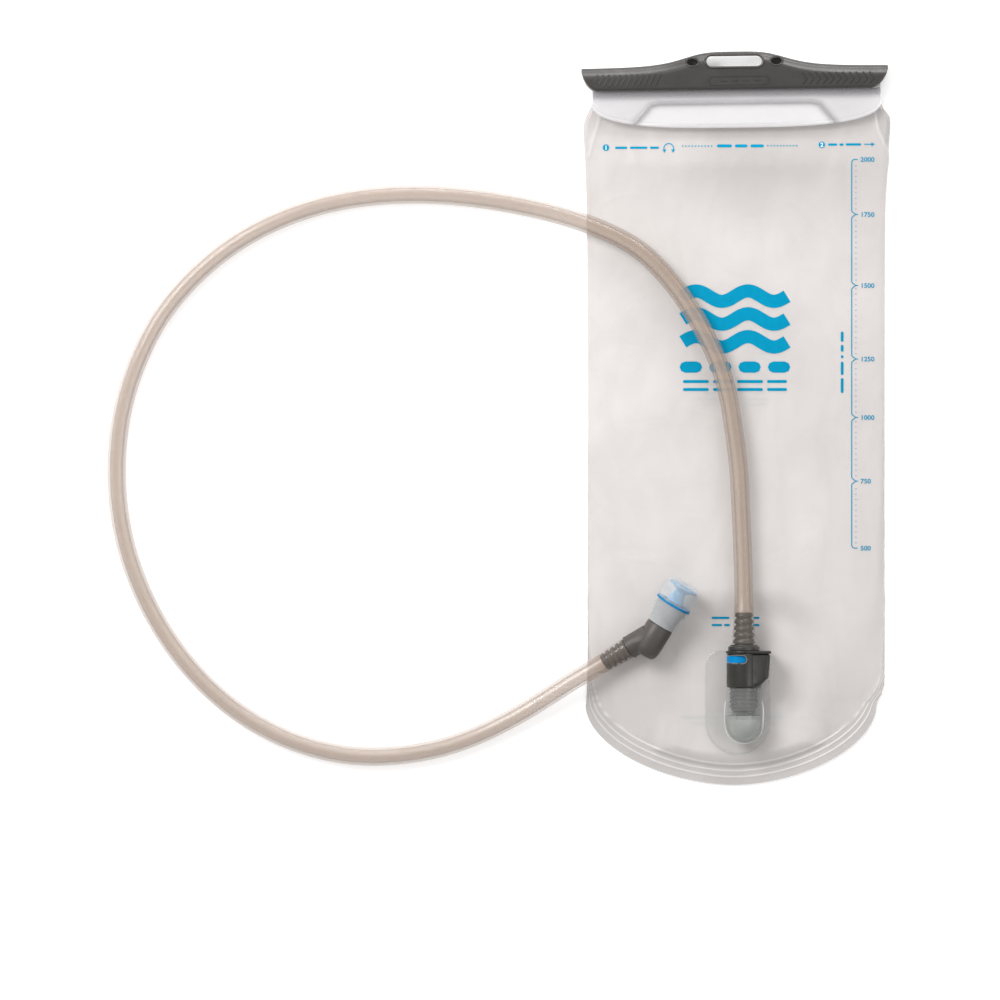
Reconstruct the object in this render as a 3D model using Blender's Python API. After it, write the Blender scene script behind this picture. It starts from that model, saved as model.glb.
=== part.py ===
"""A two-litre hydration bladder lying on its back: a film bag with a folded mouth in a slide bar, a clear
elbow port with a push-button coupling, and one hose that ends in a bite valve.

Every dimension is in millimetres and becomes metres when a mesh is made. +Y points to the slide bar, +Z out
of the bag's front, and z = 0 is the table. Turned pieces have their profiles as (radius, place on the axis).
"""

import math

import bmesh
import bpy
import numpy as np
from mathutils import Matrix, Vector

MM = 0.001
GAP = 0.3

# Bag
FILM = 0.5
BAG_TOP = 155.0
BAG_BOTTOM = -183.2
BOTTOM_START = -143.7  # where the straight sides turn into the half ellipse of the bottom
BOTTOM_HALF_WIDTH = 76.0
SIDE_EDGES = (  # y, left edge, right edge
    (BAG_TOP, 75.2, 76.0),
    (147.0, 77.0, 77.0),
    (133.0, 76.0, 77.0),
    (120.0, 74.6, 76.0),
    (105.0, 73.9, 75.4),
    (-100.0, 73.5, 75.2),
    (-125.0, 74.2, 75.5),
    (BOTTOM_START, BOTTOM_HALF_WIDTH, BOTTOM_HALF_WIDTH),
)
BAG_HEIGHT = 10.0
WELD_TOP = 2 * FILM + GAP
WELD_BAND = 11.0
BOTTOM_RISE = 38.0
MOUTH_HEIGHT = 3.2
MOUTH_BLEND = (125.0, 148.0)
ROW_PLACES = (0, 0.032, 0.043, 0.06, 0.082, 0.11, 0.142, 0.178, 0.22, 0.27, 0.33, 0.4, 0.47, 0.54, 0.61, 0.68,
              0.75, 0.81, 0.86, 0.9, 0.935, 0.965, 1)
COLUMNS = 24

# Port
AXIS_X = 4.3
LAND = 5.4  # the bag's height under the port's flange
LAND_MARGIN, LAND_BLEND = 14.0, 17.0
FLANGE_X, FLANGE_HALF = 2.2, 16.2
FLANGE_TOP, FLANGE_BOTTOM = -115.5, -168.0
FLANGE_THICKNESS = 1.2
FLANGE_CORNER = 8.0
AXIS_Z = LAND + GAP + FLANGE_THICKNESS + 9.35
INLET_Y, INLET_RADIUS = -150.0, 4.5

# Mouth and slide bar, in a frame turned a little about the bar's middle
MOUTH_TURN = math.radians(0.75)
MOUTH_CENTRE = (0.0, 168.0)
LIP_LEFT, LIP_RIGHT = -71.1, 72.7
LIP_FILM = 0.6
LIP_START = 150.0
FOLD_CENTRE = 168.3
FLAP_SIDE, FLAP_DROP = 157.0, 11.8
BAR_HALF = 76.6
BAR_BOTTOM, BAR_TOP = 164.1, 175.4
BAR_DEPTH = 10.8
CHANNEL = (2.6, 8.2, 171.2)  # floor, ceiling and end of the channel
HUMP_HEIGHT, HUMP_WIDTH = 7.8, 28.0
HUMP_DEPTH = (2.4, 8.6)
SLOT = (-14.2, 13.7, 175.5, 181.1)
LASH_HOLES = ((-21.2, 178.0), (20.8, 178.2))
LASH_SIZE = (5.5, 3.5)

# Coupling
HOUSING_RADIUS = 8.6
HOUSING_TOP, HOUSING_BOTTOM = -117.3, -134.2
BLOCK_RIGHT, BLOCK_HALF, BLOCK_BOTTOM = 17.6, 7.4, -130.9
CAP_TOP, CAP_LIP = -116.3, 0.45
BUTTON_TOP, BUTTON_BOTTOM = -118.5, -121.8
BUTTON_TRAVEL = 2.0
SHANK_RADIUS = 4.2
TONGUE_HALF, TONGUE_END = 5.8, 10.4
SPRING_POCKET_END = 16.2

# Hose
HOSE_RADIUS = 4.75
HOSE_POINTS = 80
BARB_END_PLUG = -95.9
HOSE_ROUTE = (
    (4.3, -95.6, 16.2), (4.2, -83.0, 15.7), (3.75, -67.3, 15.3), (2.65, -41.8, 15.2), (1.45, -22.7, 15.2),
    (-1.05, -3.5, 15.2), (-4.75, 16.5, 15.1), (-9.25, 29.8, 15.0), (-15.75, 43.3, 14.9), (-23.75, 56.8, 14.6),
    (-34.25, 70.8, 14.0), (-48.25, 84.2, 12.7), (-64.35, 93.2, 10.4), (-87.25, 101.5, 6.6),
    (-113.9, 107.6, 4.95), (-141.5, 111.2, 4.9), (-167.6, 111.8, 4.9), (-192.3, 109.4, 4.9),
    (-215.5, 103.7, 4.9), (-237.0, 94.7, 4.9), (-256.3, 82.6, 4.9), (-272.9, 67.8, 4.9), (-286.6, 50.9, 4.9),
    (-296.7, 32.0, 4.9), (-303.8, 12.2, 4.9), (-307.7, -7.9, 4.9), (-308.8, -28.3, 4.9), (-307.2, -48.5, 4.9),
    (-302.8, -68.5, 4.9), (-295.5, -87.9, 4.9), (-285.5, -106.5, 4.9), (-272.6, -124.0, 4.9),
    (-256.8, -139.8, 4.9), (-237.8, -153.1, 4.9), (-216.0, -162.9, 4.9), (-192.3, -168.2, 4.9),
    (-167.6, -168.2, 4.9), (-143.1, -163.5, 4.9), (-119.5, -154.1, 5.0), (-96.8, -141.2, 6.7),
    (-80.0, -130.5, 9.2),
)

# Bite valve
BITE_BASE = Vector((-46.0, -117.7, 14.9))  # the lower end of the elbow's body
BITE_DIRECTION = Vector((0.512, 0.852, 0.108)).normalized()
BRANCH_SHOULDER = Vector((-53.1, -114.4, 13.73))
BRANCH_DIRECTION = Vector((0.8526, 0.5225, 0.16)).normalized()
BRANCH_LENGTH = 16.0
BARB_LENGTH = 14.85
SLEEVE_LENGTH = 15.3


def clear_scene():
    for old in list(bpy.data.objects):
        bpy.data.objects.remove(old, do_unlink=True)


def material(name, colour, roughness, alpha=1.0, metallic=0.0):
    made = bpy.data.materials.new(name)
    made.use_nodes = True
    shader = made.node_tree.nodes["Principled BSDF"]
    shader.inputs["Base Color"].default_value = (*colour, 1)
    shader.inputs["Roughness"].default_value = roughness
    shader.inputs["Metallic"].default_value = metallic
    shader.inputs["Alpha"].default_value = alpha
    return made


def finish(name, mesh, surface, placement=None, parent=None):
    """Turns a bmesh in millimetres into an object in metres and shades its round faces smooth."""
    bmesh.ops.scale(mesh, vec=(MM, MM, MM), verts=mesh.verts)
    bmesh.ops.recalc_face_normals(mesh, faces=mesh.faces)
    data = bpy.data.meshes.new(name)
    mesh.to_mesh(data)
    mesh.free()
    data.materials.append(surface)
    data.shade_smooth()
    data.set_sharp_from_angle(angle=math.radians(35))
    made = bpy.data.objects.new(name, data)
    bpy.context.scene.collection.objects.link(made)
    if parent:
        made.parent = parent
    if placement:
        made.matrix_local = placement
    return made


def empty(name, location, turn=0.0):
    made = bpy.data.objects.new(name, None)
    made.location = [value * MM for value in location]
    made.rotation_euler.z = turn
    bpy.context.scene.collection.objects.link(made)
    return made


def boolean(target, cutter, operation="DIFFERENCE"):
    """Cuts or joins, and turns the second object into a hidden helper."""
    modifier = target.modifiers.new(cutter.name, "BOOLEAN")
    modifier.operation = operation
    modifier.solver = "EXACT"
    modifier.object = cutter
    cutter.hide_render = True
    cutter.display_type = "WIRE"


def bevel(target, width, segments=2, angle=40):
    modifier = target.modifiers.new("rounding", "BEVEL")
    modifier.width = width * MM
    modifier.segments = segments
    modifier.limit_method = "ANGLE"
    modifier.angle_limit = math.radians(angle)


def along_axis(origin, direction):
    """A placement that takes local +Z along a direction."""
    turn = Vector((0, 0, 1)).rotation_difference(direction).to_matrix().to_4x4()
    return Matrix.Translation(Vector(origin) * MM) @ turn


def prism(outline, low, high):
    """An outline in XY, extruded along Z."""
    mesh = bmesh.new()
    face = mesh.faces.new([mesh.verts.new((x, y, low)) for x, y in outline])
    grown = bmesh.ops.extrude_face_region(mesh, geom=[face])["geom"]
    top = [item for item in grown if isinstance(item, bmesh.types.BMVert)]
    bmesh.ops.translate(mesh, vec=(0, 0, high - low), verts=top)
    return mesh


def box(low, high):
    (x0, y0, z0), (x1, y1, z1) = low, high
    return prism([(x0, y0), (x1, y0), (x1, y1), (x0, y1)], z0, z1)


def turned(profile, steps=32):
    """A closed profile spun about Z. An edge that lies on the axis makes no face."""
    mesh = bmesh.new()
    rings = []
    for radius, place in profile:
        if radius == 0:
            rings.append([mesh.verts.new((0, 0, place))])
            continue
        angles = [2 * math.pi * step / steps for step in range(steps)]
        rings.append([mesh.verts.new((radius * math.cos(a), radius * math.sin(a), place)) for a in angles])
    for first, second in zip(rings, rings[1:] + rings[:1]):
        if len(first) == len(second) == 1:
            continue
        for step in range(steps):
            after = (step + 1) % steps
            corners = [first[step % len(first)], first[after % len(first)],
                       second[after % len(second)], second[step % len(second)]]
            mesh.faces.new(list(dict.fromkeys(corners)))
    return mesh


def ring(major, minor, place, steps=20, sides=6):
    angles = [2 * math.pi * side / sides for side in range(sides)]
    return turned([(major + minor * math.cos(a), place + minor * math.sin(a)) for a in angles], steps)


def tube_object(name, points, radius, surface, resolution=2):
    curve = bpy.data.curves.new(name, "CURVE")
    curve.dimensions = "3D"
    curve.bevel_depth = radius * MM
    curve.bevel_resolution = resolution
    curve.use_fill_caps = True
    curve.render_resolution_u = 0
    line = curve.splines.new("POLY")
    line.points.add(len(points) - 1)
    for point, place in zip(line.points, points):
        point.co = (*[value * MM for value in place], 1)
    curve.materials.append(surface)
    made = bpy.data.objects.new(name, curve)
    bpy.context.scene.collection.objects.link(made)
    return made


def smooth_curve(route, count):
    """Points at even steps on a natural cubic spline through the route."""
    places = np.array(route, float)
    knots = np.concatenate([[0], np.cumsum(np.linalg.norm(np.diff(places, axis=0), axis=1))])
    steps = np.diff(knots)
    system = np.eye(len(places))
    right = np.zeros_like(places)
    for i in range(1, len(places) - 1):
        system[i, i - 1 : i + 2] = steps[i - 1], 2 * (steps[i - 1] + steps[i]), steps[i]
        right[i] = 6 * ((places[i + 1] - places[i]) / steps[i] - (places[i] - places[i - 1]) / steps[i - 1])
    bends = np.linalg.solve(system, right)
    made = []
    for at in np.linspace(0, knots[-1], count):
        i = min(int(np.searchsorted(knots, at, side="right")) - 1, len(steps) - 1)
        before, after, step = knots[i + 1] - at, at - knots[i], steps[i]
        cubic = (bends[i] * before**3 + bends[i + 1] * after**3) / (6 * step)
        linear = (places[i] / step - bends[i] * step / 6) * before
        made.append(cubic + linear + (places[i + 1] / step - bends[i + 1] * step / 6) * after)
    return made


def smoothstep(value):
    value = min(max(value, 0.0), 1.0)
    return value * value * (3 - 2 * value)


def side_edge(y, right):
    """How far the bag's side is from x = 0 at this height."""
    heights = [row[0] for row in reversed(SIDE_EDGES)]
    widths = [row[2 if right else 1] for row in reversed(SIDE_EDGES)]
    return float(np.interp(y, heights, widths))


def bottom_edge(across):
    """The y of the bag's bottom at a share of the half width."""
    return BOTTOM_START + (BAG_BOTTOM - BOTTOM_START) * math.sqrt(max(0.0, 1 - across * across))


def distance_to_bottom(across, y):
    """About how far a point is from the bottom edge, square to it."""
    fall = (BOTTOM_START - BAG_BOTTOM) / BOTTOM_HALF_WIDTH
    slope = fall * abs(across) / math.sqrt(max(1e-4, 1 - across * across))
    return (y - bottom_edge(across)) / math.hypot(1, slope)


def distance_to_flange(x, y):
    """How far a point is outside the port's flange, whose lower end is a half circle."""
    low = FLANGE_BOTTOM + FLANGE_HALF
    if y < low:
        return max(0.0, math.hypot(x - FLANGE_X, y - low) - FLANGE_HALF)
    return math.hypot(max(0.0, abs(x - FLANGE_X) - FLANGE_HALF), max(0.0, y - FLANGE_TOP))


def front_height(across, x, y):
    """The height of the filled bag's front above the table."""
    from_bottom = distance_to_bottom(across, y)
    rise = min(max((from_bottom - WELD_BAND) / BOTTOM_RISE, 0.0), 1.0)
    crown = (1 - across * across) ** 0.6 * math.sqrt(1 - (1 - rise) ** 2)
    pillow = WELD_TOP + (BAG_HEIGHT - WELD_TOP) * crown
    inset = min(max((side_edge(y, x > 0) - abs(x)) / 2, 0.0), 1.0)
    mouth = WELD_TOP + (MOUTH_HEIGHT - WELD_TOP) * inset
    closing = smoothstep((y - MOUTH_BLEND[0]) / (MOUTH_BLEND[1] - MOUTH_BLEND[0]))
    height = pillow + (mouth - pillow) * closing
    flatness = smoothstep(1 - (distance_to_flange(x, y) - LAND_MARGIN) / LAND_BLEND)
    height += (LAND - height) * flatness
    return min(height, WELD_TOP + 1.2 * max(from_bottom - WELD_BAND, 0.0)) if flatness > 0 else height


def build_front_panel(film):
    mesh = bmesh.new()
    rows = []
    for place in ROW_PLACES:
        row = []
        for column in range(COLUMNS + 1):
            across = math.sin(math.pi * (column / COLUMNS - 0.5))
            low = bottom_edge(across)
            y = low + (BAG_TOP - low) * place
            x = across * side_edge(y, across > 0)
            row.append(mesh.verts.new((x, y, front_height(across, x, y))))
        rows.append(row)
    for lower, upper in zip(rows, rows[1:]):
        for i in range(COLUMNS):
            mesh.faces.new([lower[i], lower[i + 1], upper[i + 1], upper[i]])
    panel = finish("front_panel", mesh, film)
    if panel.data.polygons[0].normal.z < 0:
        panel.data.flip_normals()
    shell = panel.modifiers.new("film", "SOLIDIFY")
    shell.thickness = FILM * MM
    shell.offset = -1
    hole = finish("port_hole", turned([(0, 12), (5.0, 12), (5.0, 1), (0, 1)], 24), film,
                  Matrix.Translation(Vector((AXIS_X, INLET_Y, 0)) * MM))
    boolean(panel, hole)


def build_back_panel(film):
    outline = []
    for step in range(33):
        across = math.sin(math.pi * (step / 32 - 0.5))
        outline.append((across * BOTTOM_HALF_WIDTH, bottom_edge(across)))
    outline += [(right, y) for y, _, right in reversed(SIDE_EDGES[:-1])]
    outline += [(-left, y) for y, left, _ in SIDE_EDGES[:-1]]
    finish("back_panel", prism(outline, 0, FILM), film)


def flap_end(x):
    """The y of the folded flap's rounded lower edge."""
    middle, half = (LIP_LEFT + LIP_RIGHT) / 2, (LIP_RIGHT - LIP_LEFT) / 2
    share = min(abs(x - middle) / half, 1.0)
    return FLAP_SIDE - FLAP_DROP * (1 - share**3.2) ** 0.45


def build_lip(name, low_leg, high_leg, start_height, end_lift, surface, parent):
    """One stiff mouth strip: up the channel, over the fold, and down to the flap's edge."""
    radius = (high_leg - low_leg) / 2
    arc = [(FOLD_CENTRE + radius * math.sin(a), (low_leg + high_leg) / 2 - radius * math.cos(a))
           for a in (math.radians(30 * step) for step in range(7))]
    fixed = [(LIP_START, start_height), (157.0, start_height + 0.1), (163.4, low_leg), *arc, (163.4, high_leg)]
    mesh = bmesh.new()
    columns = []
    for step in range(25):
        across = math.sin(math.pi * (step / 24 - 0.5))
        x = (LIP_LEFT + LIP_RIGHT) / 2 + across * (LIP_RIGHT - LIP_LEFT) / 2
        end = flap_end(x) + end_lift
        path = fixed + [(163.4 + (end - 163.4) * share, high_leg) for share in (0.5, 1.0)]
        columns.append([mesh.verts.new((x, y - MOUTH_CENTRE[1], z)) for y, z in path])
    for first, second in zip(columns, columns[1:]):
        for i in range(len(first) - 1):
            mesh.faces.new([first[i], second[i], second[i + 1], first[i + 1]])
    lip = finish(name, mesh, surface, parent=parent)
    shell = lip.modifiers.new("strip", "SOLIDIFY")
    shell.thickness = LIP_FILM * MM
    shell.offset = 0


def hump(x):
    return BAR_TOP + HUMP_HEIGHT / (1 + (x / HUMP_WIDTH) ** 4)


def stadium(x0, x1, y0, y1, steps=8):
    radius = (y1 - y0) / 2
    outline = []
    for centre, start in ((x1 - radius, -90), (x0 + radius, 90)):
        for step in range(steps + 1):
            angle = math.radians(start + 180 * step / steps)
            outline.append((centre + radius * math.cos(angle), y0 + radius + radius * math.sin(angle)))
    return outline


def ellipse(centre, size, steps=16):
    angles = [2 * math.pi * step / steps for step in range(steps)]
    return [(centre[0] + size[0] / 2 * math.cos(a), centre[1] + size[1] / 2 * math.sin(a)) for a in angles]


def build_slide_bar(surface, parent):
    def shifted(outline):
        return [(x, y - MOUTH_CENTRE[1]) for x, y in outline]

    body_outline = [(-BAR_HALF, BAR_TOP), (-75.5, 170.0), (-72.7, 166.0), (-69.5, BAR_BOTTOM),
                    (68.5, BAR_BOTTOM), (72.5, 166.3), (75.6, 170.5), (BAR_HALF, BAR_TOP)]
    body = finish("slide_bar", prism(shifted(body_outline), 0, BAR_DEPTH), surface, parent=parent)
    bevel(body, 1.4)
    xs = [-70 + 5 * step for step in range(29)]
    hump_outline = [(-72, 172.5), (72, 172.5)] + [(x, hump(x)) for x in reversed(xs)]
    plate = finish("bar_hump", prism(shifted(hump_outline), *HUMP_DEPTH), surface, parent=parent)
    boolean(body, plate, "UNION")
    low, high, end = CHANNEL
    channel = box((-74.3, 150 - MOUTH_CENTRE[1], low), (90, end - MOUTH_CENTRE[1], high))
    boolean(body, finish("bar_channel", channel, surface, parent=parent))
    boolean(body, finish("bar_slot", prism(shifted(stadium(*SLOT)), -5, 20), surface, parent=parent))
    for number, centre in enumerate(LASH_HOLES):
        hole = prism(shifted(ellipse(centre, LASH_SIZE)), -5, 20)
        boolean(body, finish(f"lash_hole_{number}", hole, surface, parent=parent))


def build_mouth(clear, dark):
    frame = empty("mouth_frame", (*MOUTH_CENTRE, 0), MOUTH_TURN)
    build_lip("lip_back", 3.3, 7.5, 1.1, 0.0, clear, frame)
    build_lip("lip_front", 4.2, 6.6, 2.0, 2.4, clear, frame)
    build_slide_bar(dark, frame)


def flange_outline():
    low = FLANGE_BOTTOM + FLANGE_HALF
    outline = [(FLANGE_X + FLANGE_HALF * math.cos(a), low + FLANGE_HALF * math.sin(a))
               for a in (math.radians(180 + 15 * step) for step in range(13))]
    for side, start in ((1, 0), (-1, 90)):
        centre = (FLANGE_X + side * (FLANGE_HALF - FLANGE_CORNER), FLANGE_TOP - FLANGE_CORNER)
        outline += [(centre[0] + FLANGE_CORNER * math.cos(a), centre[1] + FLANGE_CORNER * math.sin(a))
                    for a in (math.radians(start + 22.5 * step) for step in range(5))]
    return outline


def build_port_elbow(clear, main_axis):
    outer = [(8.7, -134.5), (8.7, -139), (9.4, -143), (9.65, -148), (9.5, -152), (8.6, -156), (6.6, -159.4),
             (3.5, -161.5), (0, -162)]
    inner = [(0, -160.4), (3.2, -159.9), (5.8, -158.2), (7.2, -155.4), (8.0, -151.5), (8.1, -148),
             (7.85, -143), (7.2, -139), (7.2, -134.5)]
    base = LAND + GAP
    elbow = finish("port_elbow", prism(flange_outline(), base, base + FLANGE_THICKNESS), clear)
    outside = finish("elbow_outside", turned(outer + [(0, -134.5)]), clear, main_axis)
    boolean(elbow, outside, "UNION")
    saddle = box((AXIS_X - 5.6, -157, base + 0.4), (AXIS_X + 5.6, -137, AXIS_Z - 8.7))
    boolean(elbow, finish("elbow_saddle", saddle, clear), "UNION")
    mouth = [(7.2, -130), (0, -130)]
    boolean(elbow, finish("elbow_inside", turned(inner + mouth), clear, main_axis))
    inlet = turned([(0, 14), (INLET_RADIUS, 14), (INLET_RADIUS, 3), (0, 3)], 24)
    place = Matrix.Translation(Vector((AXIS_X, INLET_Y, 0)) * MM)
    boolean(elbow, finish("elbow_inlet", inlet, clear, place))


def build_coupling_body(dark, main_axis):
    shell = turned([(0, HOUSING_TOP), (HOUSING_RADIUS, HOUSING_TOP), (HOUSING_RADIUS, HOUSING_BOTTOM),
                    (0, HOUSING_BOTTOM)], 40)
    body = finish("coupling_body", shell, dark, main_axis)
    block = box((AXIS_X, BLOCK_BOTTOM, AXIS_Z - BLOCK_HALF), (BLOCK_RIGHT, HOUSING_TOP, AXIS_Z + BLOCK_HALF))
    side = finish("housing_block", block, dark)
    bevel(side, 1.0)
    boolean(body, side, "UNION")
    stem = [(0, -133), (6.8, -133), (6.8, -140.2), (5.85, -140.2), (5.85, -141.6), (6.8, -141.6), (6.8, -145.0),
            (4.25, -146.0), (4.25, -150), (0, -150)]
    boolean(body, finish("housing_stem", turned(stem), dark, main_axis), "UNION")
    bore = [(0, -115), (4.5, -115), (4.5, -125), (3.9, -125), (3.9, -130.5), (2.7, -130.5), (2.7, -131.5),
            (4.4, -131.5), (4.4, -144.5), (2.6, -144.5), (2.6, -152), (0, -152)]
    boolean(body, finish("housing_bore", turned(bore, 24), dark, main_axis))
    slot_low, slot_high = BUTTON_BOTTOM - GAP, BUTTON_TOP + GAP
    opening = box((-20, slot_low, AXIS_Z - 12), (AXIS_X + BUTTON_TRAVEL + 0.6, slot_high, AXIS_Z + 12))
    boolean(body, finish("button_opening", opening, dark))
    pocket_half = TONGUE_HALF + GAP
    pocket = box((AXIS_X, slot_low, AXIS_Z - pocket_half),
                 (TONGUE_END + BUTTON_TRAVEL + GAP, slot_high, AXIS_Z + pocket_half))
    boolean(body, finish("tongue_pocket", pocket, dark))
    middle = (BUTTON_TOP + BUTTON_BOTTOM) / 2
    spring_hole = turned([(0, 11.5), (2.25, 11.5), (2.25, SPRING_POCKET_END), (0, SPRING_POCKET_END)], 16)
    boolean(body, finish("spring_pocket", spring_hole, dark, along_axis((0, middle, AXIS_Z), Vector((1, 0, 0)))))


def round_left_outline(radius, right, half):
    """A half disc about the axis whose right side runs on as a straight tongue, in X and Z."""
    arc = [(-radius * math.sin(a), radius * math.cos(a))
           for a in (math.radians(15 * step) for step in range(13))]
    return arc + [(0, -half), (right - AXIS_X, -half), (right - AXIS_X, half), (0, half)]


def upright(outline, low, high, name, surface):
    """A prism of an X and Z outline about the main axis, standing between two places on Y."""
    turn = Matrix.Translation(Vector((AXIS_X, 0, AXIS_Z)) * MM) @ Matrix.Rotation(math.radians(90), 4, "X")
    return finish(name, prism(outline, -high, -low), surface, turn)


def build_coupling_cap(dark, main_axis):
    outline = round_left_outline(HOUSING_RADIUS + CAP_LIP, BLOCK_RIGHT + CAP_LIP, BLOCK_HALF + CAP_LIP)
    cap = upright(outline, HOUSING_TOP + GAP, CAP_TOP, "coupling_cap", dark)
    hole = turned([(0, -112), (SHANK_RADIUS + GAP, -112), (SHANK_RADIUS + GAP, -120), (0, -120)], 24)
    boolean(cap, finish("cap_hole", hole, dark, main_axis))


def build_release_button(blue):
    outline = round_left_outline(HOUSING_RADIUS - 0.1, TONGUE_END, TONGUE_HALF)
    button = upright(outline, BUTTON_BOTTOM, BUTTON_TOP, "release_button", blue)
    radius = SHANK_RADIUS + GAP
    hole = upright(stadium(-radius - BUTTON_TRAVEL, radius, -radius, radius), BUTTON_BOTTOM - 2, BUTTON_TOP + 2,
                   "latch_hole", blue)
    boolean(button, hole)


def coil(name, start, direction, length, radius, wire, turns, surface):
    """A helix with its first and last half turn laid flat."""
    per_turn = 10
    points = []
    for step in range(turns * per_turn + 1):
        angle = 2 * math.pi * step / per_turn
        flat = 0.5 / turns
        share = min(max((step / (turns * per_turn) - flat) / (1 - 2 * flat), 0.0), 1.0)
        points.append((radius * math.cos(angle), radius * math.sin(angle), wire + (length - 2 * wire) * share))
    spring = tube_object(name, points, wire, surface, 1)
    spring.matrix_local = along_axis(start, direction)


def build_valve(steel, dark, main_axis):
    head = [(0, -135.4), (3.8, -135.4), (3.8, -136.6), (1.1, -136.6), (1.1, -146.5), (0, -146.5)]
    finish("poppet", turned(head, 24), dark, main_axis)
    finish("poppet_seal", ring(3.15, 0.42, -134.6), dark, main_axis)
    finish("stem_o_ring", ring(6.5, 0.55, -140.9, 28), dark, main_axis)
    coil("poppet_spring", (AXIS_X, -144.2, AXIS_Z), Vector((0, 1, 0)), 7.2, 2.9, 0.3, 4, steel)
    middle = (BUTTON_TOP + BUTTON_BOTTOM) / 2
    coil("button_spring", (TONGUE_END + GAP, middle, AXIS_Z), Vector((1, 0, 0)), 5.2, 1.6, 0.25, 4, steel)


def barb(start, length, wide, narrow, ridges=5):
    """The outer side of a hose barb from its shoulder to its tip, each ridge falling towards the tip."""
    points = []
    for i in range(ridges):
        radius = wide + (narrow - wide) * i / (ridges - 1)
        near, far = start + length * i / ridges, start + length * (i + 1) / ridges
        points += [(radius - 0.45, near), (radius, near + 0.3 * length / ridges), (radius - 0.45, far)]
    return list(dict.fromkeys(points))


def build_plug(dark, main_axis):
    barb_side = [(radius, place) for radius, place in reversed(barb(-112.9, 16.5, 4.7, 4.0))]
    outside = barb_side + [
        (7.7, -112.9), (7.7, -114.4), (7.2, -114.8), (7.2, -116.0), (SHANK_RADIUS, -116.0),
        (SHANK_RADIUS, -118.3), (3.4, -118.3), (3.4, -122.0), (SHANK_RADIUS, -122.0), (SHANK_RADIUS, -124.6),
        (3.5, -124.9), (3.5, -127.2), (2.6, -127.2), (2.6, -128.6), (3.5, -128.6), (3.5, -130.2),
        (2.3, -130.2), (2.3, -135.1)]
    finish("plug", turned(outside + [(1.5, -135.1), (1.5, -96.4)], 28), dark, main_axis)
    finish("plug_o_ring", ring(3.2, 0.48, -127.9), dark, main_axis)


def hose_sleeve(name, length, wide, narrow, bore_wide, bore_narrow, surface, placement):
    """The end of the hose, stretched over a barb: from the barb's shoulder at 0 to its plain size."""
    outside = [(wide, 0), (wide, 0.25 * length), (narrow, length)]
    inside = [(bore_narrow, length), (bore_wide, 0)]
    finish(name, turned(outside + inside, 28), surface, placement)


def build_hose(rubber):
    plug_end = along_axis((AXIS_X, -112.9 + GAP, AXIS_Z), Vector((0, 1, 0)))
    hose_sleeve("hose_end_plug", BARB_END_PLUG + 112.9 - GAP, 6.0, 5.15, 5.05, 4.2, rubber, plug_end)
    back = -BRANCH_DIRECTION
    valve_end = along_axis(BRANCH_SHOULDER + back * GAP, back)
    hose_sleeve("hose_end_valve", SLEEVE_LENGTH - GAP, 5.7, 5.05, 4.95, 4.15, rubber, valve_end)
    last = BRANCH_SHOULDER + back * (SLEEVE_LENGTH + GAP)
    tube_object("hose", smooth_curve((*HOSE_ROUTE, tuple(last)), HOSE_POINTS), HOSE_RADIUS, rubber)


def build_bite_elbow(dark, bite_axis):
    spigot = [(0, 0), (5.6, 0), (6.35, 0.8), (6.35, 16.9), (4.0, 16.9), (4.0, 20.3), (3.1, 20.3), (3.1, 21.7),
              (4.0, 21.7), (4.0, 26), (2.4, 26), (2.4, 17.5), (0, 17.5)]
    elbow = finish("bite_elbow", turned(spigot), dark, bite_axis)
    back = -BRANCH_DIRECTION
    outer = barb(0, BARB_LENGTH, 4.6, 3.95)
    branch = [(0, -BRANCH_LENGTH), (5.6, -BRANCH_LENGTH), (5.6, 0), *outer, (0, BARB_LENGTH)]
    branch_axis = along_axis(BRANCH_SHOULDER, back)
    boolean(elbow, finish("elbow_branch", turned(branch), dark, branch_axis), "UNION")
    flow = turned([(0, -BRANCH_LENGTH - 5.5), (1.9, -BRANCH_LENGTH - 5.5), (1.9, 17), (0, 17)], 16)
    boolean(elbow, finish("branch_flow", flow, dark, branch_axis))


def build_mouthpiece(dark, blue, pale_blue, silicone, bite_axis):
    finish("sleeve_o_ring", ring(3.68, 0.45, 21.0), dark, bite_axis)
    sleeve = [(5.7, 17.2), (7.5, 28.8), (5.8, 28.8), (4.3, 26.5), (4.3, 17.2)]
    finish("shutoff_sleeve", turned(sleeve), dark, bite_axis)
    finish("bite_ring", turned([(7.55, 29.1), (7.55, 30.3), (6.2, 30.3), (6.2, 29.1)]), blue, bite_axis)
    core = [(6.2, 30.6), (5.9, 36.0), (5.2, 39.0), (3.2, 39.0), (3.2, 30.6)]
    finish("valve_core", turned(core, 28), pale_blue, bite_axis)
    outside = [(6.6, 17.3), (8.35, 29.0), (8.3, 31.0), (7.7, 36.0), (7.5, 39.6), (6.7, 40.8), (0, 41.0)]
    inside = [(0, 40.0), (6.1, 39.9), (6.8, 39.0), (7.0, 36.0), (7.65, 31.0), (7.85, 29.0), (6.0, 17.3)]
    sheath = finish("bite_sheath", turned(outside + inside), silicone, bite_axis)
    slit = finish("bite_slit", box((-4, -0.25, 39.6), (4, 0.25, 42)), silicone, bite_axis)
    boolean(sheath, slit)


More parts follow.
